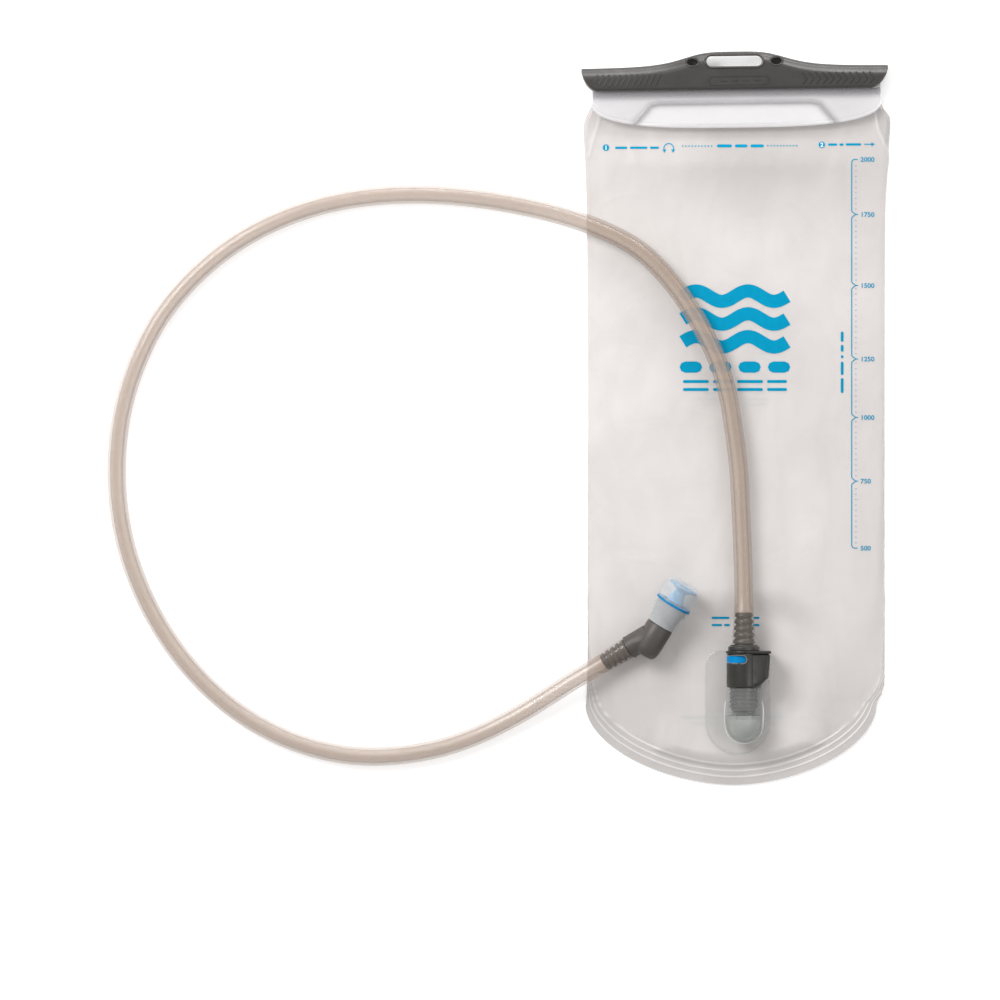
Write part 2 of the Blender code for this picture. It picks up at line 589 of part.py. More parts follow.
def main():
    clear_scene()
    film = material("frosted_film", (0.86, 0.85, 0.84), 0.35, 0.75)
    clear = material("clear_tpu", (0.88, 0.88, 0.87), 0.15, 0.5)
    dark = material("dark_grey_plastic", (0.10, 0.10, 0.095), 0.45)
    blue = material("blue_plastic", (0.0, 0.24, 0.75), 0.35)
    pale_blue = material("pale_blue_plastic", (0.35, 0.62, 0.9), 0.35)
    rubber = material("hose_tpu", (0.55, 0.49, 0.43), 0.25, 0.85)
    silicone = material("silicone", (0.8, 0.84, 0.88), 0.4, 0.6)
    steel = material("spring_steel", (0.6, 0.6, 0.6), 0.3, metallic=1.0)
    main_axis = along_axis((AXIS_X, 0, AXIS_Z), Vector((0, 1, 0)))
    bite_axis = along_axis(BITE_BASE, BITE_DIRECTION)
    build_back_panel(film)
    build_front_panel(film)
    build_mouth(clear, dark)
    build_port_elbow(clear, main_axis)
    build_coupling_body(dark, main_axis)
    build_coupling_cap(dark, main_axis)
    build_release_button(blue)
    build_valve(steel, dark, main_axis)
    build_plug(dark, main_axis)
    build_hose(rubber)
    build_bite_elbow(dark, bite_axis)
    build_mouthpiece(dark, blue, pale_blue, silicone, bite_axis)


main()
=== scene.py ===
"""The looks of a two-litre hydration bladder: frosted film bag, clear mouth flap, slide bar, elbow port with
its push-button coupling, one translucent hose and a bite valve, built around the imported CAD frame.

Every dimension is in millimetres and becomes metres when a mesh is made. +Y points to the slide bar and +Z
out of the bag's front. Turned pieces have their profiles as (radius, place on the axis).
"""

import math

import bmesh
import bpy
import numpy as np
from mathutils import Matrix, Vector, noise


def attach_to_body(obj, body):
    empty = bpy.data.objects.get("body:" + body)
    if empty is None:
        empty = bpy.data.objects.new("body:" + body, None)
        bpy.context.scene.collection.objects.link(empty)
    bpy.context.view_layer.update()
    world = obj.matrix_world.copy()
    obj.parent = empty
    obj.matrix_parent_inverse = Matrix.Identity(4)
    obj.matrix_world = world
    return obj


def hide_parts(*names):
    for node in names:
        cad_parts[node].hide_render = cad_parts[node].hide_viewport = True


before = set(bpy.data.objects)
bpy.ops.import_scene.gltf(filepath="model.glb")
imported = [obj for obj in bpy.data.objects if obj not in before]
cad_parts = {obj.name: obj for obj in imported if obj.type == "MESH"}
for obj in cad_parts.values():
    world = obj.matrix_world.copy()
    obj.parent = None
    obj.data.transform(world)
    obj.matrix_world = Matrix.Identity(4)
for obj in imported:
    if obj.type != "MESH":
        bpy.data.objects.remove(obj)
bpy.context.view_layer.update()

MM = 0.001
GAP = 0.3

# Bag
FILM = 0.5
BAG_TOP = 157.0
BAG_BOTTOM = -183.2
BOTTOM_START = -143.7
BOTTOM_HALF_WIDTH = 72.7
BOTTOM_POWERS = (1.8, 0.55)
SIDE_EDGES = (  # y, left edge, right edge
    (160.0, 71.6, 72.7), (155.2, 71.9, 74.2), (151.5, 74.0, 77.4), (148.5, 75.2, 78.0), (144.4, 75.7, 77.8),
    (137.7, 75.4, 77.2), (134.0, 75.0, 77.2), (130.0, 74.8, 77.4), (120.0, 74.5, 76.2), (105.0, 73.9, 75.4),
    (60.0, 73.6, 75.1), (0.0, 73.4, 75.0), (-60.0, 73.3, 74.9), (-100.0, 73.4, 75.0), (-125.0, 73.6, 75.0),
    (-133.0, 73.8, 74.8), (-138.0, 73.9, 73.4), (-141.5, 74.2, 71.4), (BOTTOM_START, 74.5, 71.0),
)
BAG_HEIGHT = 10.0
WELD_TOP = 1.3
WELD_BAND = 11.0
WELD_BEADS = (4.0, 7.0, 10.2)
BOTTOM_RISE = 38.0
MOUTH_HEIGHT = 3.2
MOUTH_BLEND = (125.0, 148.0)

# Port and coupling
INLET_Y = -150.0
AXIS_X, AXIS_Z = 4.3, 16.25
LAND, LAND_MARGIN, LAND_BLEND = 5.4, 14.0, 17.0
FLANGE_X, FLANGE_HALF = 1.6, 16.4
FLANGE_TOP, FLANGE_BOTTOM, FLANGE_CORNER = -115.5, -168.0, 8.0
HOUSING_RADIUS = 8.6
HOUSING_TOP, HOUSING_BOTTOM = -117.3, -134.2
BLOCK_RIGHT, BLOCK_HALF = 17.6, 7.4
CAP_TOP, CAP_LIP = -116.3, 0.45
BUTTON_TOP, BUTTON_BOTTOM, BUTTON_TRAVEL, BUTTON_FLAT = -118.5, -121.8, 2.0, 7.1
SHANK_RADIUS = 4.2
TONGUE_HALF, TONGUE_END = 5.8, 10.4

# Mouth and slide bar, in a frame turned a little about the bar's middle
MOUTH_TURN = math.radians(0.75)
MOUTH_CENTRE = (0.0, 168.0)
LIP_LEFT, LIP_RIGHT = -71.1, 72.7
LIP_FILM = 0.6
FOLD_CENTRE = 168.3
FLAP_START, FLAP_SIDE, FLAP_DROP = 164.4, 157.0, 11.8
BAR_TOP, BAR_DEPTH = 175.4, 10.8
CHANNEL = (2.6, 8.2, 171.2)
HUMP_HEIGHT, HUMP_WIDTH, HUMP_DEPTH = 7.8, 28.0, (2.4, 8.6)
SLOT = (-14.2, 13.7, 175.5, 181.1)
LASH_HOLES = ((-21.2, 178.0), (20.8, 178.2))
LASH_SIZE = (5.5, 3.5)

# Hose
HOSE_DIAMETER = 9.5
HOSE_BORE = 6.6
HOSE_SIDES = 40
HOSE_ROUTE = (
    (4.3, -95.6, 16.2), (4.2, -83.0, 15.7), (3.75, -67.3, 15.3), (2.65, -41.8, 15.2), (1.45, -22.7, 15.2),
    (-1.05, -3.5, 15.2), (-4.75, 16.5, 15.1), (-9.25, 29.8, 15.0), (-15.75, 43.3, 14.9), (-23.75, 56.8, 14.6),
    (-34.25, 70.8, 14.0), (-48.25, 84.2, 12.7), (-64.35, 93.2, 10.4), (-87.25, 101.5, 6.6),
    (-113.9, 107.6, 4.95), (-141.5, 111.2, 4.9), (-167.6, 111.8, 4.9), (-192.3, 109.4, 4.9),
    (-215.5, 103.7, 4.9), (-237.0, 94.7, 4.9), (-256.3, 82.6, 4.9), (-272.9, 67.8, 4.9), (-286.6, 50.9, 4.9),
    (-296.7, 32.0, 4.9), (-303.8, 12.2, 4.9), (-307.7, -7.9, 4.9), (-308.8, -28.3, 4.9), (-307.2, -48.5, 4.9),
    (-302.8, -68.5, 4.9), (-295.5, -87.9, 4.9), (-285.5, -106.5, 4.9), (-272.6, -124.0, 4.9),
    (-256.8, -139.8, 4.9), (-237.8, -153.1, 4.9), (-216.0, -162.9, 4.9), (-192.3, -168.2, 4.9),
    (-167.6, -168.2, 4.9), (-143.1, -163.5, 4.9), (-119.5, -154.1, 5.0), (-96.8, -141.2, 6.7),
    (-80.0, -130.5, 9.2),
)
PLUG_SHOULDER = -112.9
PLUG_BARB = 16.5

# Bite valve
BITE_BASE = Vector((-46.0, -117.7, 14.9))
BITE_DIRECTION = Vector((0.512, 0.852, 0.108)).normalized()
BRANCH_SHOULDER = Vector((-53.1, -114.4, 13.73))
BRANCH_DIRECTION = Vector((0.8526, 0.5225, 0.16)).normalized()
BRANCH_BARB = 14.85


# --- stage

def camera():
    data = bpy.data.cameras.new("camera")
    made = bpy.data.objects.new("camera", data)
    made.location = (-0.11725, -0.04075, 5.0)
    data.sensor_width = 36
    data.lens = 36 * 5.0 / 0.5
    data.clip_end = 50
    bpy.context.scene.collection.objects.link(made)
    bpy.context.scene.camera = made


def lamp(name, place, target, size, power, colour=(1, 1, 1)):
    data = bpy.data.lights.new(name, "AREA")
    data.shape = "RECTANGLE"
    data.size, data.size_y = size
    data.energy = power
    data.color = colour
    made = bpy.data.objects.new(name, data)
    made.location = place
    made.rotation_mode = "QUATERNION"
    made.rotation_quaternion = (Vector(target) - Vector(place)).to_track_quat("-Z", "Y")
    bpy.context.scene.collection.objects.link(made)


def stage():
    scene = bpy.context.scene
    scene.view_settings.view_transform = "Standard"
    world = bpy.data.worlds.new("studio")
    world.use_nodes = True
    light = world.node_tree.nodes["Background"]
    light.inputs["Color"].default_value = (1.0, 1.0, 1.0, 1)
    light.inputs["Strength"].default_value = 0.5
    scene.world = world
    lamp("key", (-1.0, 0.8, 1.4), (-0.05, 0, 0), (0.8, 0.8), 26)
    lamp("back", (0.25, 1.5, 0.75), (0.0, 0.05, 0), (1.2, 0.5), 13)
    lamp("fill", (1.0, -0.3, 1.4), (0, 0, 0), (0.8, 0.8), 4)
    data = bpy.data.meshes.new("floor")
    corners = [(x, y, -0.0004) for x, y in ((-4, -4), (4, -4), (4, 4), (-4, 4))]
    data.from_pydata(corners, [], [(0, 1, 2, 3)])
    floor = bpy.data.objects.new("floor", data)
    surface = bpy.data.materials.new("floor")
    surface.use_nodes = True
    shader = surface.node_tree.nodes["Principled BSDF"]
    shader.inputs["Base Color"].default_value = (0.93, 0.93, 0.93, 1)
    shader.inputs["Roughness"].default_value = 0.9
    shader.inputs["Specular IOR Level"].default_value = 0.1
    shader.inputs["Emission Color"].default_value = (1, 1, 1, 1)
    shader.inputs["Emission Strength"].default_value = 0.3
    data.materials.append(surface)
    scene.collection.objects.link(floor)


# --- materials

MIX_FIRST, MIX_SECOND, MIX_RESULT = 6, 7, 2  # the colour sockets of a mix node


class Surface:
    """A Principled material whose colour, roughness and relief come from noise in the piece's own space."""

    def __init__(self, name, colour, roughness, alpha=1.0, **sockets):
        self.made = bpy.data.materials.new(name)
        self.made.use_nodes = True
        self.tree = self.made.node_tree
        self.shader = self.tree.nodes["Principled BSDF"]
        self.place = self.tree.nodes.new("ShaderNodeTexCoord").outputs["Object"]
        self.colour = None
        self.normal = None
        self.base = colour
        self.shader.inputs["Base Color"].default_value = (*colour, 1)
        self.shader.inputs["Roughness"].default_value = roughness
        self.shader.inputs["Alpha"].default_value = alpha
        for socket, value in sockets.items():
            self.shader.inputs[socket.replace("_", " ")].default_value = value

    def node(self, kind, **settings):
        made = self.tree.nodes.new(kind)
        for key, value in settings.items():
            setattr(made, key, value)
        return made

    def noise(self, size, detail=3.0, distortion=0.0, stretch=(1, 1, 1)):
        """Noise whose features are about this many millimetres across."""
        mapping = self.node("ShaderNodeMapping")
        mapping.inputs["Scale"].default_value = stretch
        self.tree.links.new(self.place, mapping.inputs["Vector"])
        made = self.node("ShaderNodeTexNoise")
        made.inputs["Scale"].default_value = 1000 / size
        made.inputs["Detail"].default_value = detail
        made.inputs["Distortion"].default_value = distortion
        self.tree.links.new(mapping.outputs["Vector"], made.inputs["Vector"])
        return made.outputs["Fac"]

    def attribute(self, name):
        return self.node("ShaderNodeAttribute", attribute_name=name).outputs["Fac"]

    def ranged(self, value, low, high, start=0.3, end=0.7):
        made = self.node("ShaderNodeMapRange")
        for socket, number in zip(("From Min", "From Max", "To Min", "To Max"), (start, end, low, high)):
            made.inputs[socket].default_value = number
        self.tree.links.new(value, made.inputs["Value"])
        return made.outputs["Result"]

    def tint(self, value, colour, low=0.0, high=1.0, start=0.3, end=0.7):
        """Mixes another colour in, from the share low to the share high as the value rises."""
        mix = self.node("ShaderNodeMix", data_type="RGBA")
        if self.colour is None:
            mix.inputs[MIX_FIRST].default_value = (*self.base, 1)
        else:
            self.tree.links.new(self.colour, mix.inputs[MIX_FIRST])
        mix.inputs[MIX_SECOND].default_value = (*colour, 1)
        self.tree.links.new(self.ranged(value, low, high, start, end), mix.inputs["Factor"])
        self.colour = mix.outputs[MIX_RESULT]
        self.tree.links.new(self.colour, self.shader.inputs["Base Color"])

    def gloss(self, value, low, high, start=0.3, end=0.7):
        self.tree.links.new(self.ranged(value, low, high, start, end), self.shader.inputs["Roughness"])

    def relief(self, value, depth, strength=1.0):
        """Bump of this depth in millimetres."""
        bump = self.node("ShaderNodeBump")
        bump.inputs["Strength"].default_value = strength
        bump.inputs["Distance"].default_value = depth * MM
        self.tree.links.new(value, bump.inputs["Height"])
        if self.normal is not None:
            self.tree.links.new(self.normal, bump.inputs["Normal"])
        self.normal = bump.outputs["Normal"]
        self.tree.links.new(self.normal, self.shader.inputs["Normal"])


def scaled(colour, factor):
    return tuple(min(1.0, channel * factor) for channel in colour)


def moulded(name, colour, roughness, grain=0.35, depth=0.02, **sockets):
    """Moulded plastic: soft mottling, fine grain in its relief and a little shine that varies."""
    made = Surface(name, colour, roughness, **sockets)
    made.tint(made.noise(14, 4), scaled(colour, 1.22), 0, 0.8)
    made.tint(made.noise(0.8, 2), scaled(colour, 0.8), 0, 0.5)
    made.gloss(made.noise(5, 3), roughness - 0.06, roughness + 0.08)
    made.relief(made.noise(grain, 2), depth)
    return made


def make_materials():
    film = Surface("frosted_film", (0.80, 0.765, 0.745), 0.42, alpha=0.5)
    film.tint(film.noise(75, 4, 0.6), (0.90, 0.865, 0.845), 0, 0.9)
    film.tint(film.noise(28, 4, 1.5, (1.0, 0.45, 1.0)), (0.70, 0.665, 0.65), 0, 0.45)
    # painted shade over the weld band and outside the right fold, and a painted shadow below the mouth
    film.tint(film.attribute("shade"), (0.42, 0.40, 0.385), 0, 1, 0, 1)
    # painted highlight along the weld beads and the two fold ridges near the mouth
    film.tint(film.attribute("bead_highlight"), (1.0, 0.99, 0.98), 0, 0.85, 0, 1)
    film.gloss(film.noise(20, 4), 0.32, 0.48)
    film.relief(film.noise(26, 4, 0.8), 0.7)
    film.relief(film.noise(0.9, 2), 0.012)
    back = Surface("frosted_film_back", (0.84, 0.81, 0.79), 0.5, alpha=0.9)
    back.tint(back.noise(60, 3), (0.76, 0.73, 0.71), 0, 0.8)
    back.relief(back.noise(1.0, 2), 0.012)
    flap = Surface("clear_strip", (0.90, 0.88, 0.89), 0.14, alpha=0.42, Coat_Weight=0.5, Coat_Roughness=0.08)
    flap.tint(flap.noise(22, 3, 0.5), (0.78, 0.76, 0.78), 0, 0.5)
    flap.tint(flap.attribute("frost"), (0.97, 0.96, 0.97), 0, 0.9, 0, 1)
    flap.tint(flap.attribute("shade"), (0.16, 0.15, 0.16), 0, 1, 0, 1)
    flap.gloss(flap.attribute("frost"), 0.14, 0.36, 0, 1)
    flap.relief(flap.noise(11, 3, 1.0), 0.35)
    flap.relief(flap.noise(1.4, 2), 0.05)
    clear = Surface("clear_tpu", (0.80, 0.82, 0.79), 0.08, alpha=0.07, Coat_Weight=0.8, Coat_Roughness=0.04)
    clear.tint(clear.noise(9, 3), (0.74, 0.78, 0.75), 0, 0.7)
    clear.gloss(clear.noise(6, 3), 0.06, 0.14)
    clear.relief(clear.noise(7, 3, 0.6), 0.12)
    milky = Surface("milky_tpu", (0.74, 0.76, 0.72), 0.2, alpha=0.16, Coat_Weight=0.3)
    milky.tint(milky.noise(7, 3), (0.78, 0.81, 0.77), 0, 0.7)
    milky.gloss(milky.noise(6, 3), 0.14, 0.3)
    milky.relief(milky.noise(7, 3, 0.6), 0.12)
    # painted highlight: a brighter, more opaque clear plastic for the bright rim round the bulb's outline
    edge = Surface("clear_edge_highlight", (0.86, 0.88, 0.85), 0.1, alpha=0.45, Coat_Weight=0.8, Coat_Roughness=0.04)
    edge.tint(edge.noise(8, 3), (0.66, 0.68, 0.66), 0, 0.9)
    edge.relief(edge.noise(5, 3), 0.08)
    flange = Surface("clear_flange", (0.70, 0.69, 0.67), 0.14, alpha=0.2, Coat_Weight=0.4,
                     Coat_Roughness=0.08)
    flange.tint(flange.noise(9, 3), (0.80, 0.79, 0.77), 0, 0.7)
    flange.gloss(flange.noise(6, 3), 0.1, 0.22)
    flange.relief(flange.noise(9, 3, 0.6), 0.1)
    hose = Surface("hose_tpu", (0.45, 0.345, 0.275), 0.2, alpha=0.34, Coat_Weight=0.4, Coat_Roughness=0.1)
    hose.tint(hose.noise(45, 4), (0.50, 0.385, 0.31), 0, 0.7)
    # painted shade at the tube's sides and where the bore's edges show, then a painted highlight band near
    # the top
    hose.tint(hose.attribute("wall"), (0.26, 0.19, 0.145), 0, 0.7, 0, 1)
    hose.tint(hose.attribute("sheen"), (0.80, 0.70, 0.61), 0, 0.75, 0, 1)
    hose.tint(hose.noise(2.2, 3), (0.36, 0.28, 0.23), 0, 0.2)
    hose.gloss(hose.noise(12, 3), 0.14, 0.26)
    hose.relief(hose.noise(6, 3), 0.08)
    grip = Surface("stretched_hose_tpu", (0.36, 0.29, 0.24), 0.14, alpha=0.1, Coat_Weight=0.8,
                   Coat_Roughness=0.06)
    # painted shade at the tube's sides and where the bore's edges show
    grip.tint(grip.attribute("wall"), (0.20, 0.15, 0.12), 0, 0.7, 0, 1)
    grip.tint(grip.noise(8, 3), (0.46, 0.38, 0.32), 0, 0.6)
    grip.gloss(grip.noise(12, 3), 0.1, 0.2)
    grip.relief(grip.noise(5, 3), 0.06)
    silicone = Surface("silicone", (0.74, 0.78, 0.81), 0.26, alpha=0.17, Coat_Weight=0.3, Coat_Roughness=0.15)
    silicone.tint(silicone.noise(4, 3), (0.9, 0.93, 0.96), 0, 0.7)
    silicone.gloss(silicone.noise(5, 3), 0.2, 0.36)
    silicone.relief(silicone.noise(3, 3), 0.06)
    ink = Surface("blue_ink", (0.0, 0.25, 0.43), 0.5, Specular_IOR_Level=0.06)
    ink.tint(ink.noise(3, 3), (0.0, 0.29, 0.48), 0, 0.7)
    ink.relief(ink.noise(0.8, 2), 0.01)
    faint = Surface("faint_ink", (0.10, 0.34, 0.46), 0.6, Specular_IOR_Level=0.1)
    faint.tint(faint.noise(5, 3), (0.20, 0.42, 0.52), 0, 0.8)
    white = Surface("white_ink", (0.86, 0.86, 0.86), 0.5)
    white.tint(white.noise(2, 2), (0.8, 0.82, 0.84), 0, 0.6)
    grey = (0.027, 0.0235, 0.0215)
    made = {
        "film": film, "back": back, "flap": flap, "clear": clear, "milky": milky, "edge": edge,
        "flange": flange, "hose": hose, "grip": grip, "silicone": silicone, "ink": ink, "faint": faint,
        "white": white,
        "bar": moulded("bar_plastic", grey, 0.42, Coat_Weight=0.55, Coat_Roughness=0.24),
        # a lighter copy of the bar plastic: painted highlight on the grip ridges and the rims round the slot
        # and holes
        "bar_highlit": moulded("bar_ridges_highlit", scaled(grey, 1.4), 0.36),
        "housing": moulded("housing_plastic", (0.021, 0.020, 0.017), 0.34, 0.3),
        # a lighter copy of the housing plastic for the painted highlight on the button slot's edge
        "housing_highlit": moulded("housing_rim_highlight", (0.17, 0.165, 0.16), 0.3, 0.3),
        "plug": moulded("plug_plastic", (0.034, 0.032, 0.030), 0.32, 0.3),
        "valve": moulded("valve_plastic", (0.064, 0.056, 0.049), 0.44, 0.3),
        "sleeve": moulded("sleeve_plastic", (0.23, 0.225, 0.225), 0.46, 0.3),
        "button": moulded("button_plastic", (0.0, 0.225, 0.54), 0.34, 0.3, 0.01, Specular_IOR_Level=0.1),
        "bright_blue": moulded("ring_plastic", (0.0, 0.17, 0.38), 0.3, 0.3, 0.01, Specular_IOR_Level=0.3),
        "pale_blue": moulded("core_plastic", (0.05, 0.25, 0.44), 0.34, 0.3, 0.01),
        "rubber": moulded("seal_rubber", (0.02, 0.02, 0.02), 0.6, 0.3, 0.01),
        "steel": moulded("spring_steel", (0.6, 0.6, 0.58), 0.28, 0.3, 0.005, Metallic=1.0),
    }
    return {key: surface.made for key, surface in made.items()}


# --- mesh tools

def place_object(name, data, surface, placement=None, angle=35):
    data.materials.clear()
    data.materials.append(surface)
    data.shade_smooth()
    data.set_sharp_from_angle(angle=math.radians(angle))
    made = bpy.data.objects.new(name, data)
    bpy.context.scene.collection.objects.link(made)
    if placement is not None:
        data.transform(placement)
    return made


def finish(name, mesh, surface, placement=None, angle=35):
    """Turns a bmesh in millimetres into an object in metres, placed by its vertices."""
    bmesh.ops.scale(mesh, vec=(MM, MM, MM), verts=mesh.verts)
    bmesh.ops.recalc_face_normals(mesh, faces=mesh.faces)
    data = bpy.data.meshes.new(name)
    mesh.to_mesh(data)
    mesh.free()
    return place_object(name, data, surface, placement, angle)


def apply_modifiers(made, angle=35):
    """Makes the object's modifiers into its mesh."""
    graph = bpy.context.evaluated_depsgraph_get()
    data = bpy.data.meshes.new_from_object(made.evaluated_get(graph))
    made.modifiers.clear()
    made.data = data
    data.shade_smooth()
    data.set_sharp_from_angle(angle=math.radians(angle))


def bevel(made, width, segments=3, angle=40):
    modifier = made.modifiers.new("rounding", "BEVEL")
    modifier.width = width * MM
    modifier.segments = segments
    modifier.limit_method = "ANGLE"
    modifier.angle_limit = math.radians(angle)
    apply_modifiers(made)


def boolean(target, cutter, operation="DIFFERENCE"):
    modifier = target.modifiers.new("cut", "BOOLEAN")
    modifier.operation = operation
    modifier.solver = "EXACT"
    modifier.object = cutter
    apply_modifiers(target)
    bpy.data.objects.remove(cutter, do_unlink=True)


def cut(target, mesh, placement=None, operation="DIFFERENCE"):
    """Cuts a bmesh in millimetres out of an object, or joins it, with the object's own material."""
    boolean(target, finish("cutter", mesh, target.data.materials[0], placement), operation)


def attach(piece, body, slot, *nodes):
    """The piece rides on a body and stands for these CAD nodes, which it hides. The slot argument is not
    used.
    """
    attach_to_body(piece, body)
    if nodes:
        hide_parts(*nodes)


def solidify(made, thickness, offset=0.0):
    modifier = made.modifiers.new("thickness", "SOLIDIFY")
    modifier.thickness = thickness * MM
    modifier.offset = offset
    apply_modifiers(made)


def along_axis(origin, direction):
    turn = Vector((0, 0, 1)).rotation_difference(direction).to_matrix().to_4x4()
    return Matrix.Translation(Vector(origin) * MM) @ turn


def bridge(mesh, first, second):
    """Four-sided faces between two closed rings of as many points."""
    for i in range(len(first)):
        after = (i + 1) % len(first)
        mesh.faces.new([first[i], first[after], second[after], second[i]])


def tube(mesh, points, radius, closed, sides=8):
    """A round bead along a level chain of points, as a loop or with two flat ends."""
    count = len(points)
    rings = []
    for i, point in enumerate(points):
        after = (i + 1) % count if closed else min(i + 1, count - 1)
        before = i - 1 if closed else max(i - 1, 0)
        ahead = Vector(points[after]) - Vector(points[before])
        across = Vector((-ahead.y, ahead.x, 0)).normalized()
        rings.append([mesh.verts.new(Vector(point) + across * radius * math.cos(a)
                                     + Vector((0, 0, radius * math.sin(a))))
                      for a in np.linspace(0, 2 * math.pi, sides, endpoint=False)])
    for first, second in zip(rings, rings[1:] + rings[:1] if closed else rings[1:]):
        bridge(mesh, first, second)
    if not closed:
        mesh.faces.new(rings[0])
        mesh.faces.new(rings[-1])


def prism(outline, low, high):
    mesh = bmesh.new()
    face = mesh.faces.new([mesh.verts.new((x, y, low)) for x, y in outline])
    grown = bmesh.ops.extrude_face_region(mesh, geom=[face])["geom"]
    top = [item for item in grown if isinstance(item, bmesh.types.BMVert)]
    bmesh.ops.translate(mesh, vec=(0, 0, high - low), verts=top)
    return mesh


def box(low, high):
    (x0, y0, z0), (x1, y1, z1) = low, high
    return prism([(x0, y0), (x1, y0), (x1, y1), (x0, y1)], z0, z1)


def turned(profile, steps=64):
    """A closed profile spun about Z. An edge that lies on the axis makes no face."""
    mesh = bmesh.new()
    rings = []
    for radius, place in profile:
        if radius == 0:
            rings.append([mesh.verts.new((0, 0, place))])
            continue
        angles = [2 * math.pi * step / steps for step in range(steps)]
        rings.append([mesh.verts.new((radius * math.cos(a), radius * math.sin(a), place)) for a in angles])
    for first, second in zip(rings, rings[1:] + rings[:1]):
        if len(first) == len(second) == 1:
            continue
        for step in range(steps):
            after = (step + 1) % steps
            corners = [first[step % len(first)], first[after % len(first)],
                       second[after % len(second)], second[step % len(second)]]
            mesh.faces.new(list(dict.fromkeys(corners)))
    return mesh


def rounded(profile, radius, steps=4):
    """The profile with each corner off the axis rounded by up to this radius."""
    made = []
    count = len(profile)
    for i, corner in enumerate(profile):
        here = Vector(corner)
        before, after = Vector(profile[i - 1]) - here, Vector(profile[(i + 1) % count]) - here
        reach = min(radius, 0.45 * before.length, 0.45 * after.length)
        if corner[0] == 0 or reach < 0.05 or before.angle(after) > math.radians(165):
            made.append(corner)
            continue
        start, end = here + before.normalized() * reach, here + after.normalized() * reach
        for step in range(steps + 1):
            t = step / steps
            point = start * (1 - t) ** 2 + here * 2 * t * (1 - t) + end * t**2
            made.append((point.x, point.y))
    return made


def stadium(x0, x1, y0, y1, steps=16):
    radius = (y1 - y0) / 2
    outline = []
    for centre, start in ((x1 - radius, -90), (x0 + radius, 90)):
        for step in range(steps + 1):
            angle = math.radians(start + 180 * step / steps)
            outline.append((centre + radius * math.cos(angle), y0 + radius + radius * math.sin(angle)))
    return outline


def ellipse(centre, size, steps=32):
    angles = [2 * math.pi * step / steps for step in range(steps)]
    return [(centre[0] + size[0] / 2 * math.cos(a), centre[1] + size[1] / 2 * math.sin(a)) for a in angles]


def smooth_curve(route, count):
    """Points at even steps on a natural cubic spline through the route."""
    places = np.array(route, float)
    knots = np.concatenate([[0], np.cumsum(np.linalg.norm(np.diff(places, axis=0), axis=1))])
    steps = np.diff(knots)
    system = np.eye(len(places))
    right = np.zeros_like(places)
    for i in range(1, len(places) - 1):
        system[i, i - 1 : i + 2] = steps[i - 1], 2 * (steps[i - 1] + steps[i]), steps[i]
        right[i] = 6 * ((places[i + 1] - places[i]) / steps[i] - (places[i] - places[i - 1]) / steps[i - 1])
    bends = np.linalg.solve(system, right)
    made = []
    for at in np.linspace(0, knots[-1], count):
        i = min(int(np.searchsorted(knots, at, side="right")) - 1, len(steps) - 1)
        before, after, step = knots[i + 1] - at, at - knots[i], steps[i]
        cubic = (bends[i] * before**3 + bends[i + 1] * after**3) / (6 * step)
        linear = (places[i] / step - bends[i] * step / 6) * before
        made.append(cubic + linear + (places[i + 1] / step - bends[i + 1] * step / 6) * after)
    return made


def grid_object(name, rows, surface, attributes=None, angle=60):
    """A sheet through rows of points in millimetres, with named values for each point."""
    wide = len(rows[0])
    points = [Vector(point) * MM for row in rows for point in row]
    faces = [(r * wide + c, r * wide + c + 1, (r + 1) * wide + c + 1, (r + 1) * wide + c)
             for r in range(len(rows) - 1) for c in range(wide - 1)]
    data = bpy.data.meshes.new(name)
    data.from_pydata(points, [], faces)
    for key, values in (attributes or {}).items():
        layer = data.attributes.new(key, "FLOAT", "POINT")
        layer.data.foreach_set("value", np.array(values, np.float32).ravel())
    return place_object(name, data, surface, angle=angle)


# --- bag

def smoothstep(value):
    value = min(max(value, 0.0), 1.0)
    return value * value * (3 - 2 * value)


def hill(distance, width):
    return math.exp(-((distance / width) ** 2))


def side_edge(y, right):
    heights = [row[0] for row in reversed(SIDE_EDGES)]
    widths = [row[2 if right else 1] for row in reversed(SIDE_EDGES)]
    return float(np.interp(y, heights, widths))


def bottom_edge(across):
    first, second = BOTTOM_POWERS
    return BOTTOM_START + (BAG_BOTTOM - BOTTOM_START) * max(0.0, 1 - abs(across) ** first) ** second


def distance_to_bottom(across, y):
    first, second = BOTTOM_POWERS
    fall = (BOTTOM_START - BAG_BOTTOM) / BOTTOM_HALF_WIDTH
    left = max(1e-3, 1 - abs(across) ** first)
    slope = fall * second * first * abs(across) ** (first - 1) * left ** (second - 1)
    return (y - bottom_edge(across)) / math.hypot(1, slope)


def distance_to_flange(x, y):
    low = FLANGE_BOTTOM + FLANGE_HALF
    if y < low:
        return max(0.0, math.hypot(x - FLANGE_X, y - low) - FLANGE_HALF)
    return math.hypot(max(0.0, abs(x - FLANGE_X) - FLANGE_HALF), max(0.0, y - FLANGE_TOP))


def distance_to_line(x, y, line):
    """The distance to a chain of straight pieces, and the side on which the point lies."""
    best, side = 1e9, 1.0
    for (x0, y0), (x1, y1) in zip(line, line[1:]):
        dx, dy = x1 - x0, y1 - y0
        t = min(max(((x - x0) * dx + (y - y0) * dy) / (dx * dx + dy * dy), 0.0), 1.0)
        away = math.hypot(x - x0 - t * dx, y - y0 - t * dy)
        if away < best:
            best, side = away, math.copysign(1.0, dx * (y - y0) - dy * (x - x0))
    return best, side


